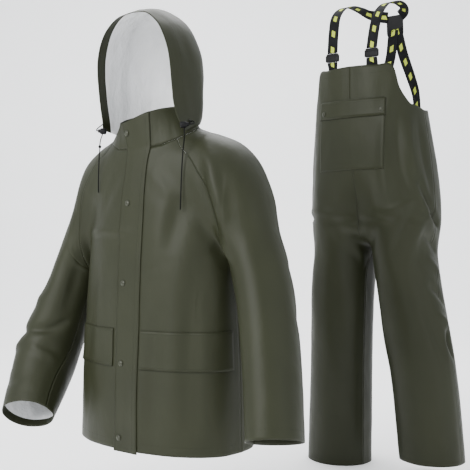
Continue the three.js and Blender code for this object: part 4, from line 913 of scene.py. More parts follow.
def sampled(grid, v, u):
    # bilinear value of a grid at fractional rows and columns
    v, u = np.broadcast_arrays(np.asarray(v, float), np.asarray(u, float))
    i = np.clip(np.floor(v).astype(int), 0, grid.shape[0] - 2)
    j = np.clip(np.floor(u).astype(int), 0, grid.shape[1] - 2)
    s, t = (v - i)[..., None], (u - j)[..., None]
    return ((grid[i, j] * (1 - t) + grid[i, j + 1] * t) * (1 - s)
            + (grid[i + 1, j] * (1 - t) + grid[i + 1, j + 1] * t) * s)


clothStep = (7.0, 5.0)  # mm between rows and between columns


class Panel:
    # a cloth panel: unfolded grid, pressed grid, outward directions, and its coarse rows and columns
    def __init__(self, base, pressed, out, rows, columns):
        self.base, self.pressed, self.out = base, pressed, out
        self.rows, self.columns = rows, columns

    def line(self, v, u, lift=0.0):
        # points of the pressed panel at coarse rows v and columns u, moved out by the lift
        v, u = np.broadcast_arrays(np.asarray(v, float), np.asarray(u, float))
        i = np.interp(v, self.rows, np.arange(len(self.rows)))
        j = np.interp(u, self.columns, np.arange(len(self.columns)))
        out = unit(sampled(self.out, i, j))
        return sampled(self.pressed, i, j) + out * lift, out


def eased(base, rows, columns, middleRow, reach, passes):
    # rows near one row averaged with their neighbours, more so away from the first column
    near = np.exp(-((rows - middleRow) / reach) ** 2)[:, None]
    share = (0.5 * near * np.clip(columns / 0.8, 0, 1)[None])[1:-1, :, None]
    for _ in range(passes):
        between = (base[2:] + base[:-2]) / 2
        base[1:-1] = base[1:-1] * (1 - share) + between * share
    return base


def pressedPanel(grid, rowPlaces, field, lines, corner, drape, soft, rows=None, easeRow=None):
    # finer grid on the form, pushed along the form's outward direction by folds and unevenness
    inset = insetEdges(grid, suitSettings["seam"])
    base, rows, columns = finer(inset, rowPlaces, clothStep[0], clothStep[1], corner, rows)
    if easeRow is not None:
        base = eased(base, rows, columns, easeRow, 1.6, 60)
    out = outward(field, base)
    depth = foldDepth(base, lines) + unevenness(base, drape, soft)
    pressed = base + out * depth[..., None]
    return Panel(base, pressed, out, rows, columns)


def fromStart(grid):
    # distance of each point from its column's first row
    gaps = np.linalg.norm(np.diff(grid, axis=0), axis=-1)
    return np.concatenate([np.zeros((1, grid.shape[1])), np.cumsum(gaps, 0)])


stitchSettings = {"pitch": 3.6, "length": 2.5, "half": 0.35, "tall": 0.32, "sunk": 0.16, "lift": 0.1}
stitchRuns = {"jacket": [], "bib": []}


def stitchLine(where, points, out):
    # even stitches along a line: middle, direction and outward direction of each
    along = np.concatenate([[0], np.cumsum(np.linalg.norm(np.diff(points, axis=0), axis=-1))])
    count = max(2, int(along[-1] / stitchSettings["pitch"]))
    at = (np.arange(count) + 0.5) * along[-1] / count
    middle = np.stack([np.interp(at, along, points[:, k]) for k in range(3)], -1)
    ahead = np.stack([np.interp(at + 0.5, along, points[:, k]) for k in range(3)], -1)
    behind = np.stack([np.interp(at - 0.5, along, points[:, k]) for k in range(3)], -1)
    up = unit(np.stack([np.interp(at, along, out[:, k]) for k in range(3)], -1))
    stitchRuns[where].append((middle, unit(ahead - behind), up))


def stitchPiece(name, where, place):
    # each stitch a flat diamond of eight faces, sunk by a third of its height
    s = stitchSettings
    parts = []
    for middle, along, up in stitchRuns[where]:
        side = unit(np.cross(along, up)) * s["half"]
        reach = along * (s["length"] / 2)
        parts.append(np.stack([middle - reach, middle + side, middle + reach, middle - side,
                               middle + up * s["tall"], middle - up * s["sunk"]], 1))
    points = np.concatenate(parts).reshape(-1, 3)
    start = np.arange(len(points) // 6)[:, None, None] * 6
    faces = np.array([(0, 1, 4), (1, 2, 4), (2, 3, 4), (3, 0, 4), (1, 0, 5), (2, 1, 5), (3, 2, 5), (0, 3, 5)])
    triangles = (start + faces[None]).reshape(-1, 3)
    piece = newPiece(name, placed(points, place), triangles, [threadFinish])


# Jacket pieces
bothSides = (("left", 1), ("right", -1))
jacketLines = foldLines(jacketFolds, jacketField, {"left": (leftSleeve, 1), "right": (rightSleeve, -1)},
                        (0, -10))


def jacketPanel(grid, rowPlaces=jacketRows, corner=underarmRow, rows=None):
    # a panel pressed with the jacket's folds, slow waves of 2 mm and short ones of 0.9 mm
    return pressedPanel(grid, rowPlaces, jacketField, jacketLines, corner, 2.0, 0.9, rows)


frontLeft = jacketPanel(frontGrid(1))
frontRight = jacketPanel(frontGrid(-1), rows=frontLeft.rows)
jacketBack = jacketPanel(backGrid())
sleeveRounds = 12  # from the cuff to the underarm, each 0.7 of a row apart
sleeveRows = np.concatenate([5 - 0.7 * np.arange(sleeveRounds, 0, -1), [5], capRows])
sleeves = {sideName: jacketPanel(sleeveGrid(side), sleeveRows, sleeveRounds) for sideName, side in bothSides}
print("rain suit: jacket panels pressed")

hemBand, cuffBand = 25.0, 22.0  # olive facing turned in at the hem and at the cuffs
for name, panel in (("front_left", frontLeft), ("front_right", frontRight), ("back", jacketBack),
                    ("sleeve_left", sleeves["left"]), ("sleeve_right", sleeves["right"])):
    band = fromStart(panel.base) < (cuffBand if "sleeve" in name else hemBand)
    piece = clothSheet(f"shell_{name}", panel.pressed, panel.out, suitSettings["wall"], jacketPlace, band)
    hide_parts(f"jacket_{name}")

collarSettings = {
    "half": 95.0, "reach": 95.0, "middleY": -33.0, "wall": 1.6,
    "top": ((-180, 84), (-120, 76), (-90, 62), (-50, 42), (-22, 36), (0, 42), (31, 60), (50, 68), (75, 75),
            (120, 80), (180, 84)),
    "lean": ((-180, -180), (-60, -62), (-15, -24), (0, 0), (31, 31), (180, 180)),
}
collarTop = np.array(collarSettings["top"], float)
collarLean = np.array(collarSettings["lean"], float)


def collarOver(foot, share):
    # from a point of the neck seam towards the rim over it, leaning as the table gives
    s = collarSettings
    turn = np.degrees(np.arctan2(foot[..., 0], jacketSettings["neckY"] - foot[..., 1]))
    rimTurn = curveAt(collarLean[:, 0], collarLean[:, 1], turn)
    above = np.radians(rimTurn)
    rim = np.stack([np.sin(above) * s["half"], s["middleY"] - np.cos(above) * s["reach"],
                    curveAt(collarTop[:, 0], collarTop[:, 1], rimTurn)], -1)
    out = np.stack([np.sin(np.radians(turn)), -np.cos(np.radians(turn)), 0 * turn], -1)
    return foot * (1 - share) + rim * share, out


neckLine = np.concatenate([frontLeft.pressed[-1], sleeves["left"].pressed[-1, 1:], jacketBack.pressed[-1, 1:],
                           sleeves["right"].pressed[-1, ::-1][1:], frontRight.pressed[-1, ::-1][1:]])
collarShares = np.linspace(0, 1, 15)
collarCells = [collarOver(neckLine, share) for share in collarShares]
collarGrid = np.stack([cell[0] for cell in collarCells])
collarOut = np.stack([cell[1] for cell in collarCells])
collarWaves = unevenness(collarGrid, 0.6, 0.7) * np.sin(np.pi * collarShares)[:, None]
collarPressed = insetEdges(collarGrid, 0.15) + collarOut * collarWaves[..., None]
collar = clothSheet("standing_collar", collarPressed, collarOut, 1.6, jacketPlace,
                    np.ones(collarGrid.shape[:2], bool))
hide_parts("jacket_collar")

# Hood
hoodSettings = {"half": 131.0, "front": 170.0, "back": 117.0, "top": 168.0, "low": 640.0, "middleY": -40.0,
                "middleZ": 168.0, "facePower": 3.2, "backPower": 2.1, "rise": 4, "cells": 10, "drawIn": 0.8,
                "startTurn": 84.0, "freeShare": 0.2, "clear": 2.6, "cornerX": 145.0, "cornerY": -86.0,
                "cornerLeft": 4.0, "cornerRight": 30.0, "faceHem": 25.0}


def hoodField(p):
    # an egg-shaped plan, its power changing at the middle, drawn up into a dome and down into a neck
    s = hoodSettings
    ahead = p[..., 1] < s["middleY"]
    power = np.where(ahead, s["facePower"], s["backPower"])
    across = np.abs(p[..., 0]) / s["half"]
    deep = np.abs(p[..., 1] - s["middleY"]) / np.where(ahead, s["front"], s["back"])
    plan = (across ** power + deep ** power) ** (1 / power)
    up = p[..., 2] - s["middleZ"]
    high = up / np.where(up > 0, s["top"], s["low"])
    return (np.hypot(plan, high) - 1) * s["half"]


def hoodRay(y, z, degrees, sideways):
    level, rise = math.cos(math.radians(degrees)), math.sin(math.radians(degrees))
    return (0, y, z) + ((level, 0, rise) if sideways else (0, level, rise))


faceStations = [hoodRay(-102, 30, 0, True), hoodRay(-114, 92, 0, True), hoodRay(-124, 168, 0, True),
                hoodRay(-131, 168, 44, True), hoodRay(-125, 168, 90, True)]
crownStations = [hoodRay(-20, 46, 0, False), hoodRay(-20, 100, 0, False),
                 hoodRay(-20, 168, 0, False),
                 hoodRay(-20, 168, 26, False), hoodRay(-30, 168, 52, False)]


def hoodGrid(side):
    # face to crown rays cast on the dome, the lowest rows drawn in to the collar's foot
    s = hoodSettings
    places = s["rise"] * np.arange(s["cells"] + 1) / s["cells"]
    rays = raysAcross([raysUp(faceStations, places), raysUp(crownStations, places)], (s["cells"],))
    dome = gridOn(hoodField, flipped(rays, side))
    share = np.arange(s["cells"] + 1) / s["cells"]
    seated = np.maximum(0, share - s["freeShare"]) / (1 - s["freeShare"])
    turn = s["startTurn"] + (180 - s["startTurn"]) * seated
    neck = flipped(neckRays(turn), side)
    foot, out = collarOver(cast(jacketField, neck[:, :3], neck[:, 3:]), 0.12)
    seat = foot + out * (suitSettings["wall"] + s["clear"])
    corner = np.array([s["cornerX"] * side, s["cornerY"], s["cornerLeft"] if side > 0 else s["cornerRight"]])
    t = np.minimum(share / s["freeShare"], 1)[:, None]
    edge = corner * (1 - t) + seat * t
    draw = (np.maximum(0, 1 - places / s["drawIn"]) ** 2)[:, None, None]
    return dome * (1 - draw) + edge[None] * draw


hoods = {}
hoodCoarse = {}
for sideName, side in bothSides:
    coarse = hoodGrid(side)
    hoodCoarse[sideName] = coarse
    base, rows, columns = finer(insetEdges(coarse, 0.15), np.arange(11.0), 5.0, 5.0, None,
                                hoods["left"].rows if hoods else None)
    out = gridOut(base, base - np.array([0, -60, 140.0]))
    fromFace = fromStart(np.moveaxis(base, 1, 0)).T
    depth = unevenness(base, 1.4, 1.6)
    fade = np.clip(fromFace / 30, 0.15, 1) * np.clip((fromFace.max() - fromFace) / 25, 0.1, 1)
    pressed = base + out * (depth * fade)[..., None]
    hoods[sideName] = Panel(base, pressed, out, rows, columns)
    piece = clothSheet(f"hood_half_{sideName}", pressed, out, suitSettings["wall"], jacketPlace,
                       np.broadcast_to(fromFace.mean(0) < hoodSettings["faceHem"], fromFace.shape))
    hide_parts(f"hood_{sideName}")

# Knit tape over the crown seam, inside the hood
tapeSettings = {"reach": 8.0, "wall": 1.4, "gap": 0.2}
tapeHalves = {}
for sideName, hood in hoods.items():
    fromCrown = fromStart(np.moveaxis(hood.base[:, ::-1], 1, 0)).T[:, ::-1]
    near = fromCrown.mean(0) < tapeSettings["reach"]
    tapeHalves[sideName] = (hood.pressed[:, near], hood.out[:, near])
tapePoints = np.concatenate([tapeHalves["left"][0], tapeHalves["right"][0][:, ::-1]], 1)
tapeOut = unit(np.concatenate([tapeHalves["left"][1], tapeHalves["right"][1][:, ::-1]], 1))
tapePoints = tapePoints - tapeOut * (suitSettings["wall"] + tapeSettings["gap"])
tape = clothSheet("hood_seam_tape", tapePoints, tapeOut, tapeSettings["wall"], jacketPlace, None,
                  [backingFinish, backingFinish])
print("rain suit: collar and hood made")

# Storm flap: the inner columns of both fronts, on up the collar, lifted off them
flapSettings = {"wall": 2.0, "lift": 2.4, "edgeLift": 1.0, "dip": 5.0}
inLeft = frontLeft.columns <= 1.0001
inRight = frontRight.columns <= 1.0001
flapBase = np.concatenate([frontRight.pressed[:, inRight][:, ::-1], frontLeft.pressed[:, inLeft][:, 1:]], 1)
flapOut = np.concatenate([frontRight.out[:, inRight][:, ::-1], frontLeft.out[:, inLeft][:, 1:]], 1)
flapColumns = np.concatenate([1 - frontRight.columns[inRight][::-1], 1 + frontLeft.columns[inLeft][1:]])
heads = [collarOver(flapBase[-1], share) for share in np.linspace(0, 1, 15)[1:]]
flapFoot = flapBase[:1] - np.array([0, 0, flapSettings["dip"]])
flapBase = np.concatenate([flapFoot, flapBase, np.stack([head[0] for head in heads])])
flapOut = np.concatenate([flapOut[:1], flapOut, np.stack([head[1] for head in heads])])
freeEdge = np.clip(1 - flapColumns / 0.35, 0, 1) ** 2
lift = flapSettings["lift"] + flapSettings["edgeLift"] * freeEdge
flapPressed = flapBase + flapOut * lift[None, :, None]
stormFlap = clothSheet("front_storm_flap", flapPressed, flapOut, flapSettings["wall"], jacketPlace,
                       np.ones(flapPressed.shape[:2], bool))
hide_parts("storm_flap")
flapRows = np.arange(len(flapPressed), dtype=float)
flapPanel = Panel(flapBase, flapPressed, flapOut, flapRows, flapColumns)


def partPanel(panel, rows, columns, lift, dropEdge):
    # part of a panel between coarse rows and columns, lifted off it, its lowest edge a little more
    v = panel.rows[(panel.rows > rows[0] + 0.01) & (panel.rows < rows[1] - 0.01)]
    v = np.concatenate([[rows[0]], v, [rows[1]]])
    u = panel.columns[(panel.columns > columns[0] + 0.01) & (panel.columns < columns[1] - 0.01)]
    u = np.concatenate([[columns[0]], u, [columns[1]]])
    points, out = panel.line(v[:, None], u[None, :])
    low = np.clip(1 - (v - rows[0]) / (0.18 * (rows[1] - rows[0])), 0, 1) ** 2
    pressed = points + out * (lift + dropEdge * low)[:, None, None]
    return Panel(points, pressed, out, v, u)


pocketCover = {}
for sideName, panel, columns in (("left", frontLeft, (1.15, 8.6)), ("right", frontRight, (1.3, 8.5))):
    cover = partPanel(panel, (3, 5), columns, flapSettings["lift"], 1.2)
    piece = clothSheet(f"side_pocket_flap_{sideName}", cover.pressed, cover.out, 2.0, jacketPlace,
                       np.ones(cover.base.shape[:2], bool))
    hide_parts(f"pocket_flap_{sideName}")
    pocketCover[sideName] = cover

# Snap caps on the storm flap
snapProfile = ((0, 0), (7.3, 0), (7.5, 0.5), (7.5, 1.3), (7.1, 1.9), (6.4, 2.2), (6.0, 2.0), (5.6, 2.3),
               (4.6, 2.9), (3.0, 3.4), (1.4, 3.6), (0, 3.6))
snapRows = ((-758, 0.56), (-572, 0.66), (-371, 0.68), (-170, 0.84), (12, 0.44))
for number, (height, share) in enumerate(snapRows):
    middle = np.argmin(np.abs(flapColumns - 1))
    row = np.interp(height, flapPressed[:, middle, 2], flapRows)
    at, out = flapPanel.line(np.array([row]), np.array([share]), 0.2)
    cap = lathe(f"snap_cap_{number + 1}", snapProfile, at[0], out[0], snapFinish, 28, jacketPlace)
    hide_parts(f"flap_snap_{number + 1}")

# Eyelets, locks and hood cords
cordSettings = {"radius": 1.5, "lockLength": 22.0}
eyeletProfile = ((2.1, 0), (6, 0), (6.1, 0.4), (5.6, 1.2), (4.6, 1.6), (3.6, 1.5), (2.6, 0.9), (2.1, 0))
lockProfile = ((0, -11), (5.2, -11), (6.6, -10.4), (7.8, -8.6), (8, -7), (8, 3.2), (7.6, 4.4), (5.4, 5.4),
               (4.9, 6.4), (4.9, 9.6), (4.3, 10.6), (3, 11), (0, 11))
eyelets = {}
for sideName, row, lift in (("left", 0.55, 2.2), ("right", 1.4, 1.7)):
    coarse = hoodCoarse[sideName]
    at = sampled(coarse, np.array(row), np.array(1.5))
    i, j = int(row), 1
    out = unit(np.cross(coarse[i + 1, j] - coarse[i, j], coarse[i, j + 1] - coarse[i, j]))
    if (out * (at - np.array([0, -60, 140.0]))).sum() < 0:
        out = -out
    at = at + out * lift
    eyelets[sideName] = (at, out)
    ring = lathe(f"cord_eyelet_{sideName}", eyeletProfile, at, out, eyeletFinish, 28, jacketPlace)
    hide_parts(f"hood_eyelet_{sideName}")
locks = {"left": (np.array([153, -101, 20.0]), unit(np.array([0.8, 0.6, 0.12]))),
         "right": (np.array([-129, -104, 24.0]), unit(np.array([-0.8, -0.6, 0.1])))}
bends = {"left": (162, -76, 24), "right": (-150, -88, 42)}
tails = {"left": [(154, -102, -8), (153, -105, -34), (151, -107, -70), (150, -109, -110),
                  (149, -110, -150), (149, -112, -188)],
         "right": [(-132, -106, 4), (-134, -108, -12.6), (-134, -108, -21.4), (-134, -110, -40),
                   (-134, -112, -75), (-134, -113, -110), (-134, -113, -138)]}
for sideName, (at, along) in locks.items():
    lathe(f"spring_lock_{sideName}", lockProfile, at, along, plasticFinish, 24,
                                 jacketPlace)
    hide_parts(f"cord_lock_{sideName}")
knotProfile = ((0, -4), (1.6, -3.9), (2.9, -3), (3.6, -1.6), (4.4, -0.6), (4.4, 0.8), (3.4, 1.6), (2.8, 3),
               (1.6, 3.9), (0, 4))
knot = lathe("right_cord_knot", knotProfile, np.array([-134, -108, -17.0]), np.array([0, 0, 1.0]), cordFinish,
             20, jacketPlace)
knot.data.uv_layers.new(name="band")
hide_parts("cord_knot_right")


def roundFrames(path):
    # two directions square to the path, turned as little as possible from one point to the next
    along = unit(np.gradient(path, axis=0))
    side = unit(np.cross(along[0], [0.2, 0.9, 0.3]))
    sides = []
    for direction in along:
        side = unit(side - direction * (side * direction).sum())
        sides.append(side)
    sides = np.array(sides)
    return sides, np.cross(along, sides)


for sideName in ("left", "right"):
    at, out = eyelets[sideName]
    lockAt, along = locks[sideName]
    lockEnd = lockAt + along * (cordSettings["lockLength"] / 2)
    down = np.array([0, 0, -1.0])
    route = [at + out * 0.8, at + out * 5, bends[sideName], lockEnd + along * 3.5, lockEnd,
             lockAt + along * 8, lockAt + along * 2.4 + down * 2.4, lockAt + down * 8] + tails[sideName]
    path = smoothPath(np.array([np.asarray(p, float) for p in route]), 2.5)
    sides, ups = roundFrames(path)
    angle = np.linspace(0, 2 * np.pi, 12, endpoint=False)
    section = np.stack([np.cos(angle), np.sin(angle)], -1) * cordSettings["radius"]
    cordPiece = profileAlong(f"hood_drawcord_{sideName}", path, sides, ups, section, cordFinish, jacketPlace,
                             angle * cordSettings["radius"])
    nodes = [f"hood_cord_{sideName}_upper", f"hood_cord_{sideName}_tail"]
    if sideName == "right":
        nodes.append("hood_cord_right_knot")
    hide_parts(*nodes)

# Stitching on the jacket
thread = stitchSettings["lift"]
for panel in (frontLeft, frontRight):
    stitchLine("jacket", *panel.line(0.3, np.linspace(1, 9, 200), thread))
    stitchLine("jacket", *panel.line(np.linspace(11, 19, 160), 8.82, thread))
stitchLine("jacket", *jacketBack.line(0.3, np.linspace(0, 16, 400), thread))
for column in (0.14, 15.86):
    stitchLine("jacket", *jacketBack.line(np.linspace(11, 19, 160), column, thread))
for panel in sleeves.values():
    stitchLine("jacket", *panel.line(0.5, np.linspace(0, 16, 300), thread))
    for column in (0.2, 15.8):
        stitchLine("jacket", *panel.line(np.linspace(12.4, 21, 160), column, thread))
for share in (0.13, 1.7, 1.92):
    stitchLine("jacket", *flapPanel.line(np.linspace(1, flapRows[-1] - 1, 400), share, thread))
for cover in pocketCover.values():
    u = np.linspace(cover.columns[0] + 0.1, cover.columns[-1] - 0.1, 160)
    for row in (4.94, 4.8, 3.1):
        stitchLine("jacket", *cover.line(row, u, thread))
for panel in hoods.values():
    stitchLine("jacket", *panel.line(np.linspace(0.1, 10, 200), 1.25, thread))
    stitchLine("jacket", *panel.line(np.linspace(0.1, 10, 200), 9.72, thread))
stitchPiece("jacket_stitching", "jacket", jacketPlace)
print("rain suit: jacket finished")

# Bib overalls
bibStress = 1.35  # share by which the table's depths are taken on the form
topBand = 24.0  # olive facing turned in at the bib's top
bibLines = foldLines(bibFolds, bibField, {"left": (leftLeg[::-1], 1), "right": (rightLeg[::-1], -1)}, (0, 0),
                     bibStress)
bibCuts = (("front_left", 1, -1), ("front_right", -1, -1), ("back_left", 1, 1), ("back_right", -1, 1))
bibPanels = {}
for name, side, face in bibCuts:
    panel = pressedPanel(bibGrid(side, face), bibRows, bibField, bibLines, crotchRow, 2.6, 1.2,
                         bibPanels["front_left"].rows if bibPanels else None, crotchRow)
    bibPanels[name] = panel
    facing = (fromStart(panel.base[::-1])[::-1] < topBand) | (fromStart(panel.base) < hemBand)
    piece = clothSheet(f"overall_{name}", panel.pressed, panel.out, suitSettings["wall"], bibPlace, facing)
    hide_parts(f"bib_{name}")
print("rain suit: overalls panels pressed")


def acrossMiddle(rows, lift, edgeLift=0.0):
    # the pocket's columns of both fronts joined over the middle seam and lifted, the low edge a little more
    left, right = bibPanels["front_left"], bibPanels["front_right"]
    v = left.rows[(left.rows > rows[0] + 0.01) & (left.rows < rows[1] - 0.01)]
    v = np.concatenate([[rows[0]], v, [rows[1]]])
    uLeft = np.concatenate([left.columns[left.columns < 2.99], [3.0]])
    uRight = np.concatenate([right.columns[right.columns < 2.99], [3.0]])
    a, aOut = right.line(v[:, None], uRight[None, ::-1])
    b, bOut = left.line(v[:, None], uLeft[None, 1:])
    points, out = np.concatenate([a, b], 1), np.concatenate([aOut, bOut], 1)
    columns = np.concatenate([3 - uRight[::-1], 3 + uLeft[1:]])
    low = np.clip(1 - (v - rows[0]) / (0.3 * (rows[1] - rows[0])), 0, 1) ** 2
    pressed = points + out * (lift + edgeLift * low)[:, None, None]
    return Panel(points, pressed, out, v, columns)


bag = acrossMiddle((pocketFoot, flapSeamRow), 2.0)
bagPiece = clothSheet("chest_pocket", bag.pressed, bag.out, 1.6, bibPlace, np.ones(bag.base.shape[:2], bool))
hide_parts("bib_pocket")
cover = acrossMiddle((flapEdgeRow, flapSeamRow), 4.4, 1.4)
coverPiece = clothSheet("chest_pocket_flap", cover.pressed, cover.out, 2.0, bibPlace,
                        np.ones(cover.base.shape[:2], bool))
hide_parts("bib_pocket_flap")
for sideName, column in (("left", 5.7), ("right", 0.45)):
    at, out = cover.line(np.array([flapEdgeRow + 0.45]), np.array([column]), 0.2)
    cap = lathe(f"chest_snap_{sideName}", snapProfile, at[0], out[0], snapFinish, 28, bibPlace)
    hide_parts(f"pocket_snap_{sideName}")

# Stitching on the overalls
for panel in bibPanels.values():
    stitchLine("bib", *panel.line(0.2, np.linspace(0, 9, 200), thread))
    stitchLine("bib", *panel.line(20.55, np.linspace(0, 9, 200), thread))
    stitchLine("bib", *panel.line(np.linspace(0.2, 20.9, 500), 8.86, thread))
    stitchLine("bib", *panel.line(np.linspace(0.2, 20.9, 500), 0.14, thread))
for column in (0.1, 0.35, 5.65, 5.9):
    stitchLine("bib", *bag.line(np.linspace(pocketFoot + 0.1, flapSeamRow, 160), column, thread))
for row in (pocketFoot + 0.1, pocketFoot + 0.3):
    stitchLine("bib", *bag.line(row, np.linspace(0.1, 5.9, 160), thread))
for row in (flapSeamRow - 0.1, flapSeamRow - 0.35, flapEdgeRow + 0.15):
    stitchLine("bib", *cover.line(row, np.linspace(0.1, 5.9, 160), thread))
stitchPiece("overalls_stitching", "bib", bibPlace)

# Braces
braceSettings = {"width": 39.0, "thick": 2.0, "buckleZ": 1363.0, "buckleY": -135.0, "buckleTall": 30.0}


def webbing(name, points, faces, nodes):
    # flat band with rounded selvedges carried along the given points, facing as the second list gives
    path = smoothPath(points, 5.0)
    along = unit(np.gradient(path, axis=0))
    faces = np.array(faces, float)
    place = np.linspace(0, len(faces) - 1, len(path))
    facing = np.stack([np.interp(place, np.arange(len(faces)), faces[:, k]) for k in range(3)], -1)
    sides = unit(np.cross(along, facing))
    ups = unit(np.cross(sides, along))
    half, thick = braceSettings["width"] / 2, braceSettings["thick"] / 2
    across = np.array([-1, -0.97, -0.9, -0.5, 0, 0.5, 0.9, 0.97, 1, 0.97, 0.9, 0.5, 0, -0.5, -0.9, -0.97])
    across = across * half
    face = np.array([0, 0.75, 1.1, 0.95, 1, 0.95, 1.1, 0.75]) * thick
    up = np.concatenate([face, -face])
    section = np.stack([across, up], -1)
    piece = profileAlong(name, path, sides, ups, section, webFinish, bibPlace, across)
    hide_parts(*nodes)


strapX = {"left": 67.0, "right": -79.0}
tabY = {"left": -131.4, "right": -131.6}
tabLean = {"left": 0.26, "right": -0.25}
for sideName, x in strapX.items():
    low, z, y = tabY[sideName], braceSettings["buckleZ"], braceSettings["buckleY"]
    points = [(x, low, 1278), (x, low, 1305), (x, low - 1, 1330),
              (x, y, z - braceSettings["buckleTall"] / 2 - 0.4)]
    leaning = (tabLean[sideName], -1, 0)
    webbing(f"brace_foot_{sideName}", points, [leaning] * 3 + [(0, -1, 0)], [f"brace_tab_{sideName}"])
strapStart = braceSettings["buckleZ"] + braceSettings["buckleTall"] / 2 + 0.8
overPoints = {
    "right": [(-79, -135, strapStart), (-79, -127, 1450), (-80, -111, 1502), (-80, -72, 1538),
              (-78, -12, 1559), (-73, 44, 1560), (-58, 88, 1550), (-30, 113, 1543), (-4, 120, 1538)],
    "left": [(67, -135, strapStart), (68, -120, 1440), (70, -100, 1492), (73, -60, 1532), (76, -4, 1554),
             (78, 46, 1560), (72, 90, 1553), (60, 112, 1547), (44, 120, 1538)],
}
overFaces = [(0, -1, 0.1), (0, -0.9, 0.45), (0, 0, 1), (0, 0.7, 0.7), (0, 0.97, 0.2)]
downPoints = {
    "right": [(16, 125.4, 1494), (12, 126.4, 1467), (2, 130, 1400), (-22, 134, 1326), (-44, 135.1, 1262),
              (-58, 133, 1200), (-64, 132, 1160)],
    "left": [(28, 125.4, 1494), (34, 127.5, 1467.6), (50, 133, 1400), (76, 134, 1326), (98, 129, 1262),
             (110, 115.1, 1200), (113, 112.5, 1160)],
}
downFaces = {"right": [(0, 1, 0), (0, 1, 0), (-0.12, 1, 0), (-0.12, 1, 0)],
             "left": [(0, 1, 0), (0.1, 1, 0), (0.25, 0.97, 0), (0.43, 0.9, 0), (0.43, 0.9, 0)]}
for sideName in ("left", "right"):
    webbing(f"brace_strap_{sideName}", overPoints[sideName], overFaces, [f"brace_over_{sideName}"])
    webbing(f"brace_down_{sideName}", downPoints[sideName], downFaces[sideName], [f"brace_back_{sideName}"])


def softBlock(middle, size, power, turnX=0.0, rows=17, columns=32):
    # superquadric: each axis is its half size times a signed power of the sphere's sine or cosine
    v = np.linspace(-np.pi / 2, np.pi / 2, rows)[:, None]
    u = np.linspace(-np.pi, np.pi, columns, endpoint=False)[None]

    def signed(value):
        return np.sign(value) * np.abs(value) ** power

    x = size[0] / 2 * signed(np.cos(v)) * signed(np.cos(u))
    z = size[2] / 2 * signed(np.cos(v)) * signed(np.sin(u))
    y = size[1] / 2 * signed(np.sin(v)) * np.ones_like(u)
    c, s = math.cos(turnX), math.sin(turnX)
    points = np.stack([x, y * c - z * s, y * s + z * c], -1) + np.asarray(middle, float)
    i, j = np.meshgrid(np.arange(rows - 1), np.arange(columns), indexing="ij")
    a, b = i * columns + j, i * columns + (j + 1) % columns
    quads = np.stack([a, b, b + columns, a + columns], -1).reshape(-1, 4)
    return points.reshape(-1, 3), quads


def blocksPiece(name, blocks, finish, nodes):
    # several soft blocks joined into one piece, doubled points at the poles merged
    points, quads, start = [], [], 0
    for block in blocks:
        p, q = softBlock(**block)
        points.append(p)
        quads.append(q + start)
        start += len(p)
    worldPoints = placed(np.concatenate(points), bibPlace)
    piece = newPiece(name, worldPoints, np.concatenate(quads), [finish], merged=True)
    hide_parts(*nodes)


for sideName, x in strapX.items():
    y, z = braceSettings["buckleY"], braceSettings["buckleZ"]
    blocks = [
        {"middle": (x, y, z - 5), "size": (50, 11, 19), "power": 0.35},
        {"middle": (x, y, z + 9), "size": (44, 9, 11), "power": 0.35},
        {"middle": (x - 22, y, z + 1), "size": (6, 8, 17), "power": 0.5},
        {"middle": (x + 22, y, z + 1), "size": (6, 8, 17), "power": 0.5},
        {"middle": (x, y - 5.2, z - 4), "size": (20, 1.6, 12), "power": 0.4},
        {"middle": (x, y - 4.4, z + 12), "size": (40, 2.2, 2.4), "power": 0.6},
        {"middle": (x, y - 4.8, z - 13), "size": (44, 2.2, 2.2), "power": 0.6},
    ]
    buckleNodes = [f"brace_buckle_{sideName}"]
    blocksPiece(f"side_release_buckle_{sideName}", blocks, plasticFinish, buckleNodes)
blocksPiece("cross_patch", [
    {"middle": (20, 127.5, 1508.4), "size": (64, 2.6, 72), "power": 0.22, "turnX": 0.08},
    {"middle": (20, 128.6, 1508.4), "size": (52, 2.4, 60), "power": 0.3, "turnX": 0.08},
], plasticFinish, ["brace_patch"])
print("rain suit: braces made")

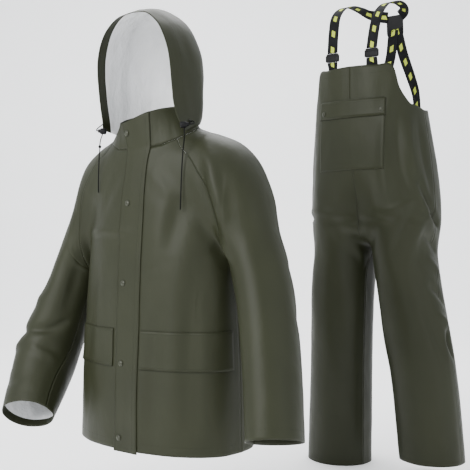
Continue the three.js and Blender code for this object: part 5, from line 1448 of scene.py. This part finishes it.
# Floor, backdrop and light
stageSettings = {"floor": float(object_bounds()[0][2]) - 0.0005, "near": -7.0, "far": 4.0, "round": 2.0,
                 "tall": 6.0, "half": 9.0, "glow": 0.3}
bend = np.linspace(0, np.pi / 2, 24)
profile = np.concatenate([
    [[stageSettings["near"], 0.0]],
    np.stack([stageSettings["far"] + stageSettings["round"] * np.sin(bend),
              stageSettings["round"] * (1 - np.cos(bend))], -1),
    [[stageSettings["far"] + stageSettings["round"], stageSettings["tall"]]]])
sides = np.array([-stageSettings["half"], stageSettings["half"]])
stagePoints = np.stack([np.broadcast_to(sides[None], (len(profile), 2)),
                        np.broadcast_to(profile[:, :1], (len(profile), 2)),
                        np.broadcast_to(profile[:, 1:] + stageSettings["floor"], (len(profile), 2))], -1)
stageMesh = bpy.data.meshes.new("studioSweep")
stageMesh.from_pydata(stagePoints.reshape(-1, 3).tolist(), [], cellQuads(len(profile), 2)[:, ::-1].tolist())
stageMesh.polygons.foreach_set("use_smooth", np.ones(len(stageMesh.polygons), bool))
sweepFinish = plainFinish("paleSweep", (0.90, 0.90, 0.90), (0.92, 0.92, 0.92), 0.9, 0.0, 3, 0.0)
sweepShader = sweepFinish.node_tree.nodes["Principled BSDF"]
sweepShader.inputs["Emission Color"].default_value = (1, 1, 1, 1)
sweepShader.inputs["Emission Strength"].default_value = stageSettings["glow"]
stageMesh.materials.append(sweepFinish)
sweep = bpy.data.objects.new("studioSweep", stageMesh)
bpy.context.scene.collection.objects.link(sweep)

worldSettings = {"colour": (0.93, 0.96, 1.0, 1), "strength": 1.3}
world = bpy.data.worlds.new("studioWorld")
world.use_nodes = True
background = world.node_tree.nodes["Background"]
background.inputs["Color"].default_value = worldSettings["colour"]
background.inputs["Strength"].default_value = worldSettings["strength"]
bpy.context.scene.world = world
lights = {  # place, aim, size and power
    "keyLight": ((-2.8, -3.0, 1.9), (0.2, 0.2, -0.3), 3.0, 330),
    "fillLight": ((3.4, -3.0, 0.8), (0.5, 0.4, -0.3), 2.8, 45),
    "topLight": ((0.4, 2.6, 3.6), (0.4, 1.6, -0.6), 3.4, 260),
}
for name, (place, aim, width, power) in lights.items():
    data = bpy.data.lights.new(name, "AREA")
    data.shape = "SQUARE"
    data.size = width
    data.energy = power
    lamp = bpy.data.objects.new(name, data)
    lamp.location = place
    direction = np.array(aim) - np.array(place)
    flatReach = math.hypot(direction[0], direction[1])
    lamp.rotation_euler = (math.atan2(flatReach, -direction[2]), 0, math.atan2(-direction[0], direction[1]))
    bpy.context.scene.collection.objects.link(lamp)
print("rain suit: studio ready")
